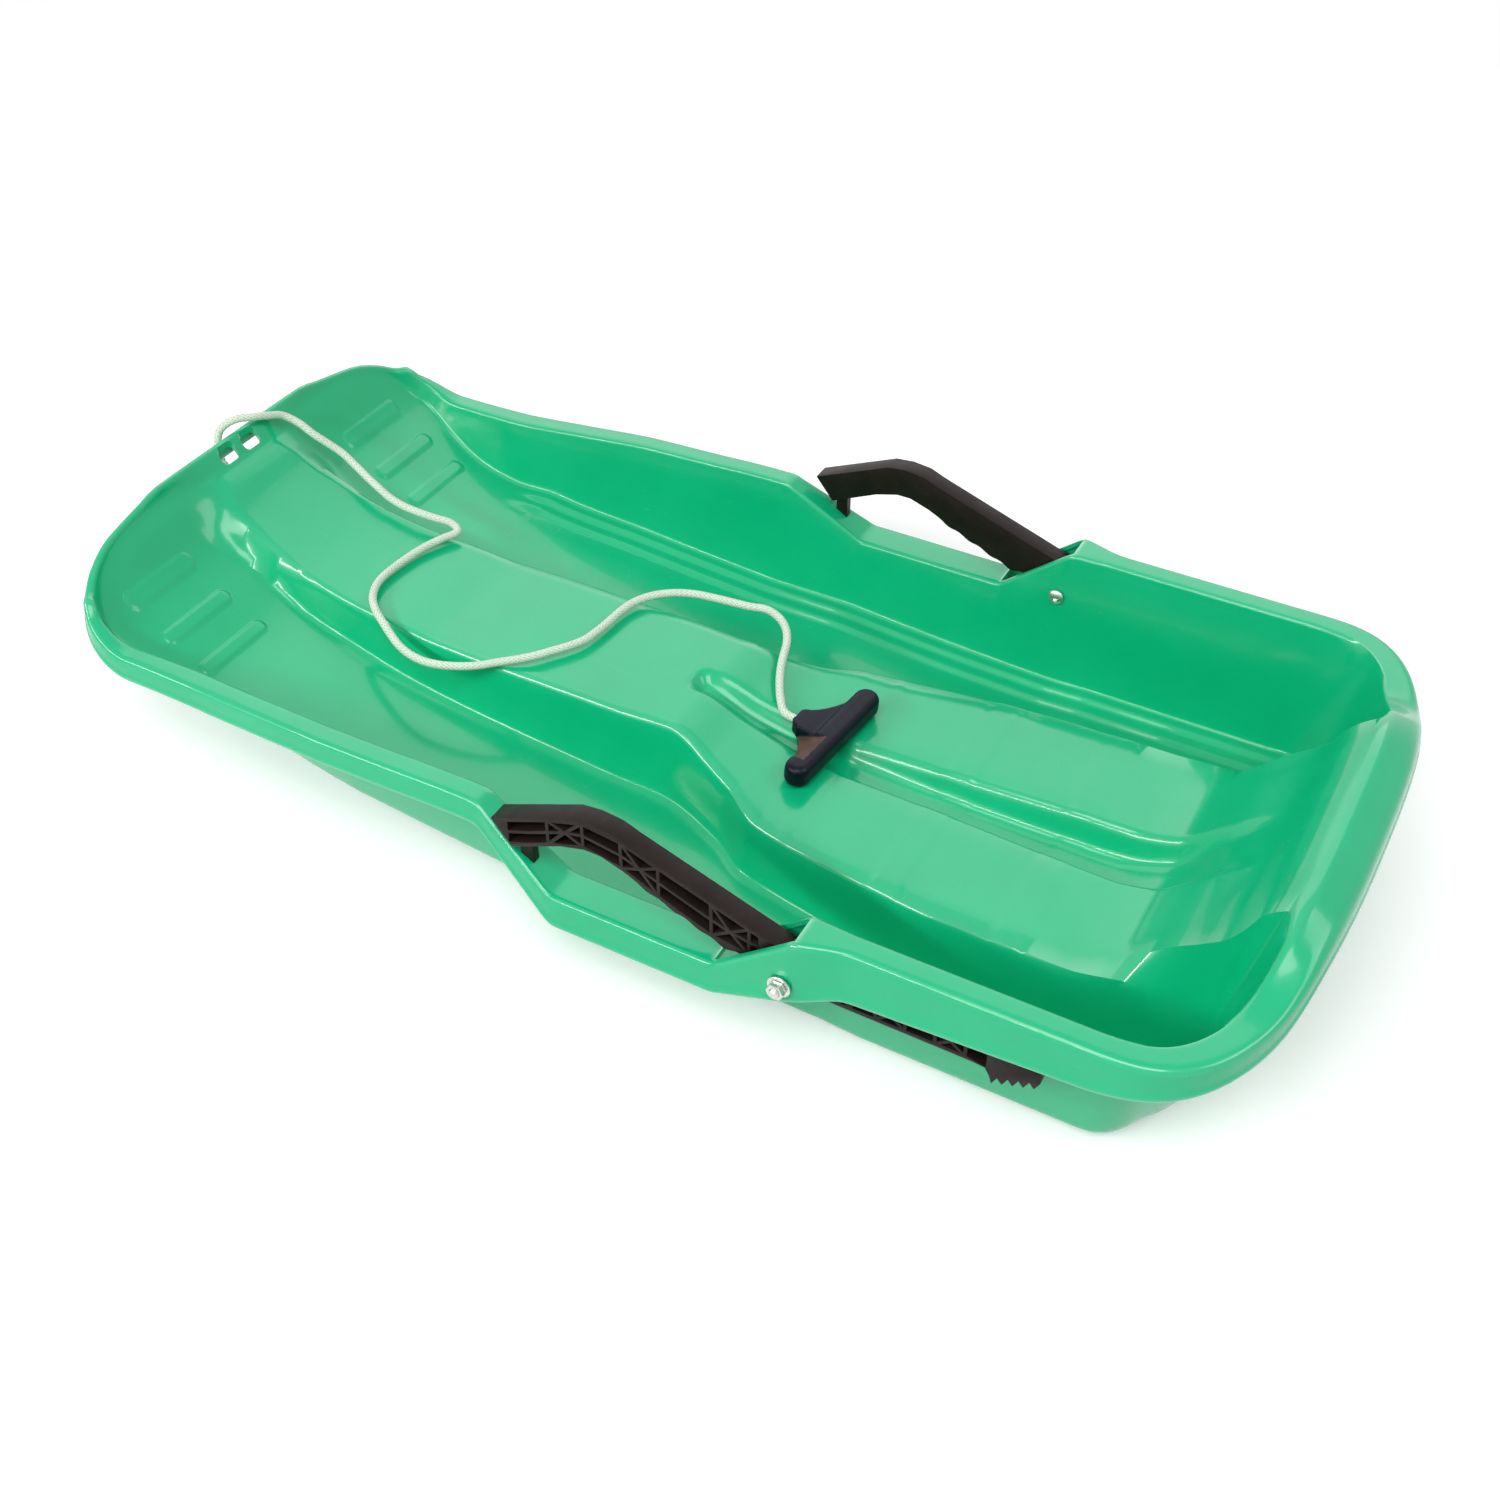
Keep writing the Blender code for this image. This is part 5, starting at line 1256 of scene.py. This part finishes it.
def add_handle(mat, worn_mat):
    """T handle: a round-edged bar with a flared neck that takes the rope and a finger scoop."""
    top = HANDLE_THICKNESS / 2 + BAR_EXTRA_HEIGHT
    handle = mesh_object("tow_grip", bar_mesh(top), mat, worn_mat)
    front = HANDLE_WIDTH / 2 + NECK_LENGTH
    base = HANDLE_WIDTH * 0.35
    line = [(base + (front - base) * place, NECK_WIDTH * width) for place, width in NECK_SHARES]
    places = [base + (front - base) * k / NECK_STEPS for k in range(NECK_STEPS + 1)]
    neck = [(u, -along(u, line)) for u in places]
    neck += [(u, -v) for u, v in reversed(neck)]
    half = NECK_THICKNESS / 2
    joined(handle, "UNION", block(neck, NECK_RAISE - half, NECK_RAISE + half, in_handle))
    back = SCOOP_BACK - SCOOP_RUN_OUT
    scoop = [(back, scoop_line(back)), (front, scoop_line(front))]
    scoop += [(front, top + HANDLE_THICKNESS), (back, top + HANDLE_THICKNESS)]
    joined(handle, "DIFFERENCE", block(scoop, SCOOP_FROM, SCOOP_TO, along_bar))
    voxel = handle.modifiers.new("even", "REMESH")
    voxel.mode = "VOXEL"
    voxel.voxel_size = HANDLE_VOXEL
    applied(handle)
    even = handle.modifiers.new("round", "SMOOTH")
    even.factor = 0.5
    even.iterations = 6
    applied(handle)
    socket = circle(ROPE_DIAMETER / 2 + GAP, 32)
    start = front - ROPE_SOCKET_DEPTH
    joined(handle, "DIFFERENCE", block(socket, start, front + NECK_LENGTH, along_neck))
    for face in handle.data.polygons:
        place = face.center - HANDLE_CENTRE
        u, v, depth = (place.dot(axis) for axis in (HANDLE_FORWARD, HANDLE_ACROSS, HANDLE_UP))
        on_floor = abs(depth - scoop_line(u)) < 0.5 * MM and face.normal.dot(HANDLE_UP) > 0.5
        if SCOOP_FROM < v < SCOOP_TO and on_floor:
            face.material_index = 1
    finished(handle, "hull", "navy_moulding", "tow_handle", angle=50)
    return handle


STRANDS = 7
BRAID_SIDES = 42
BRAID_STEP = 0.75 * MM
BRAID_PITCH = 13 * MM
BRAID_DEPTH = 0.5 * MM
# Braid height below which a face takes the darker gap colour, painted shade between the strands
BRAID_GAP_LEVEL = 0.42
BRAID_DIP = 0.45


def braid_rise(around, along_rope):
    """Height of the braid's surface, from 0 in a gap to 1 on a strand."""
    first = STRANDS * around + along_rope * STRANDS / 2
    second = STRANDS * around - along_rope * STRANDS / 2
    a, b = first % 1, second % 1
    if (math.floor(first) + math.floor(second)) % 2:
        a, b = b, a
    across = math.sqrt(max(0.0, 1 - (2 * a - 1) ** 2))
    return across * (1 - BRAID_DIP + BRAID_DIP * math.sin(math.pi * b))


def tube(points, radius, sides, rise=None, closed_loop=False):
    """Tube along points, with frames that don't twist."""
    mesh = bmesh.new()
    count = len(points)
    tangents = []
    for k in range(count):
        a = points[k - 1] if k or closed_loop else points[0]
        b = points[(k + 1) % count] if k < count - 1 or closed_loop else points[-1]
        tangents.append((b - a).normalized())
    up = Vector((0, 0, 1)) if abs(tangents[0].z) < 0.9 else Vector((1, 0, 0))
    across = tangents[0].cross(up).normalized()
    rings = []
    travelled = 0.0
    for k, (point, tangent) in enumerate(zip(points, tangents)):
        across = (across - tangent * across.dot(tangent)).normalized()
        other = tangent.cross(across)
        if k:
            travelled += (point - points[k - 1]).length
        ring = []
        for i in range(sides):
            share = i / sides
            size = radius
            if rise:
                size += BRAID_DEPTH * (rise(share, travelled / BRAID_PITCH) - 1)
            angle = 2 * math.pi * share
            ring.append(mesh.verts.new(point + (across * math.cos(angle) + other * math.sin(angle)) * size))
        rings.append(ring)
    stitched(mesh, rings, loop=closed_loop, caps=not closed_loop)
    return mesh


def add_rope(mat, gap_shade_mat, handle, knot):
    path = even_points(rope_route(), ROPE_STEP)
    fine = even_points(path, BRAID_STEP)
    braid = closed(tube(fine, ROPE_DIAMETER / 2, BRAID_SIDES, braid_rise))
    rope = mesh_object("braided_rope", braid, mat, gap_shade_mat)
    travelled = 0.0
    lengths = [0.0]
    for a, b in zip(fine, fine[1:]):
        travelled += (b - a).length
        lengths.append(travelled)
    # Faces down in the braid's gaps get the second, darker cord material: painted shade between the strands
    for face in rope.data.polygons:
        if len(face.vertices) == 4:
            row, column = divmod(min(face.vertices), BRAID_SIDES)
            around = (column + 0.5) / BRAID_SIDES
            if braid_rise(around, (lengths[row] + BRAID_STEP / 2) / BRAID_PITCH) < BRAID_GAP_LEVEL:
                face.material_index = 1
    finished(rope, "hull", "braided_cord", "tow_rope", angle=80)


KNOT_TURNS = 160
KNOT_STRAND = 2.4 * MM
KNOT_WAVE = 0.38
KNOT_FLATNESS = 0.75


def add_knot(mat):
    """Knot under the nose: a stopper wound tight on itself."""
    centre = nose_place(KNOT_SHARES)
    points = []
    for k in range(KNOT_TURNS):
        t = 2 * math.pi * k / KNOT_TURNS
        reach = (KNOT_RADIUS - KNOT_STRAND) * (1 - KNOT_WAVE + KNOT_WAVE * math.cos(3 * t))
        turn = Vector((math.cos(2 * t), math.sin(2 * t), KNOT_FLATNESS * math.sin(3 * t)))
        points.append(centre + turn * reach)
    knot = mesh_object("nose_stopper", closed(tube(points, KNOT_STRAND, 28, None, True)), mat)
    return finished(knot, "hull", "braided_cord", "nose_knot", angle=80)


# Materials

# Dark and light colour of each finish
GREEN = ((0.002, 0.435, 0.19), (0.004, 0.47, 0.212))
GREEN_STREAK = (0.03, 0.5, 0.26)
CORD = ((0.62, 0.71, 0.58), (0.78, 0.86, 0.74))
# Darker cord colour for the braid's gaps: painted shade between the strands
CORD_GAP_SHADE = ((0.3, 0.42, 0.33), (0.4, 0.54, 0.42))
CORD_SOIL = (0.55, 0.6, 0.5)
NAVY = ((0.002, 0.002, 0.008), (0.004, 0.004, 0.014))
NAVY_RUBBED = ((0.06, 0.033, 0.024), (0.1, 0.055, 0.04))
BLACK = ((0.009, 0.0052, 0.0046), (0.016, 0.0098, 0.0085))
BLACK_EDGE = ((0.085, 0.045, 0.034), (0.13, 0.072, 0.055))
ZINC = ((0.6, 0.61, 0.6), (0.7, 0.68, 0.6))
# Pointiness from a flat face to a rounded edge, and the gloss from one to the other
EDGE_RANGE = (0.515, 0.56)
SPECULAR_RANGE = (0.34, 0.9)
COAT_RANGE = (0.25, 1.0)
NOISE_ROUGHNESS = 0.55


class Nodes:
    """Lays nodes into the tree of one material or world."""

    def __init__(self, owner, shader):
        owner.use_nodes = True
        self.owner = owner
        self.tree = owner.node_tree
        self.shader = self.tree.nodes[shader]

    def fill(self, node, values):
        """Sets a node's inputs, or links them where a value is another node's output."""
        for socket, value in values.items():
            if isinstance(value, bpy.types.NodeSocket):
                self.tree.links.new(value, node.inputs[socket])
            elif value is not None:
                node.inputs[socket].default_value = value
        return node

    def add(self, kind, values):
        return self.fill(self.tree.nodes.new("ShaderNode" + kind), values)

    def shade(self, values):
        self.fill(self.shader, values)

    def place(self):
        return self.add("TexCoord", {}).outputs["Object"]

    def stretched(self, scale, turn=0.0):
        values = {"Scale": scale, "Rotation": (0, 0, turn), "Vector": self.place()}
        return self.add("Mapping", values).outputs["Vector"]

    def noise(self, scale, detail, vector=None):
        values = {"Scale": scale, "Detail": detail, "Roughness": NOISE_ROUGHNESS}
        return self.add("TexNoise", {**values, "Vector": vector or self.place()}).outputs["Fac"]

    def ranged(self, value, low, high, to_low, to_high):
        values = {"From Min": low, "From Max": high, "To Min": to_low, "To Max": to_high, "Value": value}
        return self.add("MapRange", values).outputs["Result"]

    def mixed(self, share, first, second):
        """Colour between two colours, or over another output."""
        node = self.add("Mix", {0: share})
        node.data_type = "RGBA"
        colours = [(*colour, 1.0) if isinstance(colour, tuple) else colour for colour in (first, second)]
        return self.fill(node, {6: colours[0], 7: colours[1]}).outputs[2]

    def maths(self, operation, first, second):
        node = self.add("Math", {0: first, 1: second})
        node.operation = operation
        return node.outputs[0]

    def bump(self, height, strength, distance, under=None):
        values = {"Strength": strength, "Distance": distance, "Height": height, "Normal": under}
        return self.add("Bump", values).outputs["Normal"]

    def seen(self):
        """1 for rays from the camera, and for those that mirrors and glass send on."""
        rays = self.add("LightPath", {}).outputs
        direct = self.maths("MAXIMUM", rays["Is Camera Ray"], rays["Is Glossy Ray"])
        return self.maths("MAXIMUM", direct, rays["Is Transmission Ray"])


def material(name):
    return Nodes(bpy.data.materials.new(name), "Principled BSDF")


def green_material():
    """Glossy moulded polythene: faint flow clouds, orange peel and fine scuffs."""
    n = material("green moulding detail")
    edges = n.add("NewGeometry", {}).outputs["Pointiness"]
    n.shade({
        "Specular IOR Level": n.ranged(edges, *EDGE_RANGE, *SPECULAR_RANGE),
        "Coat Weight": n.ranged(edges, *EDGE_RANGE, *COAT_RANGE),
        "Coat Roughness": 0.05,
    })
    streak = n.noise(60, 3, n.stretched((0.35, 1.6, 1.6)))
    colour = n.mixed(n.ranged(n.noise(14, 4), 0.3, 0.7, 0, 1), *GREEN)
    n.shade({"Base Color": n.mixed(n.ranged(streak, 0.62, 0.8, 0, 0.12), colour, GREEN_STREAK)})
    scuff = n.noise(420, 2, n.stretched((0.12, 1.0, 1.0), 0.35))
    other = n.noise(380, 2, n.stretched((1.0, 0.1, 1.0), -0.2))
    marks = n.maths("MAXIMUM", n.ranged(scuff, 0.66, 0.78, 0, 1), n.ranged(other, 0.68, 0.8, 0, 1))
    marks = n.maths("MULTIPLY", marks, n.ranged(n.noise(9, 3), 0.45, 0.68, 0, 1))
    base = n.ranged(n.noise(45, 5), 0.3, 0.7, 0.17, 0.26)
    n.shade({"Roughness": n.maths("ADD", base, n.maths("MULTIPLY", marks, 0.2))})
    peel = n.bump(n.noise(260, 2), 0.12, 0.3 * MM)
    grain = n.bump(n.noise(1500, 2), 0.06, 0.08 * MM, peel)
    n.shade({"Normal": n.bump(marks, 0.12, 0.05 * MM, grain)})
    return n.owner


def moulded_material(name, colours, roughness, grain_scale):
    """Moulded nylon: fine spark grain, slight cloudiness and rubbed places."""
    n = material(name)
    colour = n.mixed(n.ranged(n.noise(40, 4), 0.3, 0.7, 0, 1), *colours)
    rub = n.maths("MULTIPLY", n.ranged(n.noise(120, 5), 0.55, 0.75, 0, 1), 0.35)
    grain = n.bump(n.noise(grain_scale, 3), 0.35, 0.12 * MM)
    scratch = n.ranged(n.noise(500, 2, n.stretched((0.08, 1.0, 1.0), 0.5)), 0.64, 0.76, 1, 0)
    n.shade({
        "Specular IOR Level": 0.16,
        "Base Color": n.mixed(rub, colour, tuple(min(1.0, c * 2.2) for c in colours[1])),
        "Roughness": n.ranged(n.noise(75, 4), 0.3, 0.7, roughness - 0.06, roughness + 0.07),
        "Normal": n.bump(scratch, 0.15, 0.06 * MM, grain),
    })
    return n.owner


def steel_material():
    """Zinc-plated steel: cloudy plating, faint turning marks and dull spots."""
    n = material("plated steel detail")
    n.shade({
        "Metallic": 1.0,
        "Base Color": n.mixed(n.ranged(n.noise(300, 4), 0.35, 0.7, 0, 1), *ZINC),
        "Roughness": n.ranged(n.noise(900, 4), 0.3, 0.7, 0.2, 0.4),
        "Normal": n.bump(n.noise(2500, 3), 0.25, 0.04 * MM),
    })
    return n.owner


def rope_material(name, colours):
    """Braided polyester: fine fibres across the strands, and a little soil."""
    n = material(name)
    fibre = n.noise(2600, 3)
    colour = n.mixed(n.ranged(fibre, 0.3, 0.7, 0, 1), *colours)
    n.shade({
        "Sheen Weight": 0.25,
        "Sheen Roughness": 0.5,
        "Base Color": n.mixed(n.ranged(n.noise(35, 4), 0.5, 0.75, 0, 0.3), colour, CORD_SOIL),
        "Roughness": n.ranged(n.noise(500, 3), 0.3, 0.7, 0.74, 0.9),
        "Normal": n.bump(fibre, 0.5, 0.12 * MM),
    })
    return n.owner


# Floor, backdrop and light

FLOOR_REACH = 1.6
FLOOR_GLOW = 0.32
WORLD_LIGHT = 0.22
LAMP_AIM = Vector((0, 0, 0.05))
# Name, place, width, height and power of each lamp
LAMPS = (
    ("far side", (0.75, -1.6, 1.5), 2.6, 1.7, 17.0),
    ("above the camera", (-0.5, 1.3, 2.2), 1.5, 1.0, 30.0),
    ("tail", (-1.7, -0.3, 1.6), 1.2, 0.8, 10.0),
    ("key", (1.0, 1.95, 1.45), 2.4, 0.12, 36.0),
)


def add_floor():
    corners = ((-1, -1), (1, -1), (1, 1), (-1, 1))
    mesh = bmesh.new()
    mesh.faces.new([mesh.verts.new((x * FLOOR_REACH, y * FLOOR_REACH, 0)) for x, y in corners])
    n = material("pale floor")
    n.shade({
        "Base Color": (0.86, 0.86, 0.86, 1),
        "Roughness": 0.9,
        "Specular IOR Level": 0.1,
        "Emission Color": (1, 1, 1, 1),
        "Emission Strength": n.maths("MULTIPLY", n.seen(), FLOOR_GLOW),
    })
    floor = mesh_object("floor", mesh, n.owner)


def add_world():
    world = bpy.data.worlds.new("studio")
    bpy.context.scene.world = world
    n = Nodes(world, "Background")
    n.shade({"Color": (1, 1, 1, 1), "Strength": n.ranged(n.seen(), 0, 1, WORLD_LIGHT, 1.0)})


def add_lamps():
    for name, place, width, height, power in LAMPS:
        data = bpy.data.lights.new(name, "AREA")
        data.shape = "RECTANGLE"
        data.size = width
        data.size_y = height
        data.energy = power
        lamp = bpy.data.objects.new(name, data)
        lamp.location = place
        lamp.rotation_euler = (LAMP_AIM - Vector(place)).to_track_quat("-Z", "Y").to_euler()
        bpy.context.scene.collection.objects.link(lamp)


def main():
    bpy.context.scene.view_settings.view_transform = "Standard"
    add_camera()
    cord = rope_material("braided cord detail", CORD)
    # The second cord material is the painted shade in the braid's gaps
    gaps = rope_material("braided cord painted gap shade", CORD_GAP_SHADE)
    navy = moulded_material("navy moulding detail", NAVY, 0.36, 1800)
    worn = moulded_material("navy moulding rubbed", NAVY_RUBBED, 0.5, 1800)
    black = moulded_material("black moulding detail", BLACK, 0.42, 1500)
    edge = moulded_material("black moulding edge", BLACK_EDGE, 0.4, 1500)
    add_rope(cord, gaps, add_handle(navy, worn), add_knot(cord))
    add_hull(green_material())
    steel = steel_material()
    for label, side in (("left", 1), ("right", -1)):
        add_lever(label, side, black, edge)
        add_fasteners(label, side, steel)
    add_floor()
    add_world()
    add_lamps()


main()
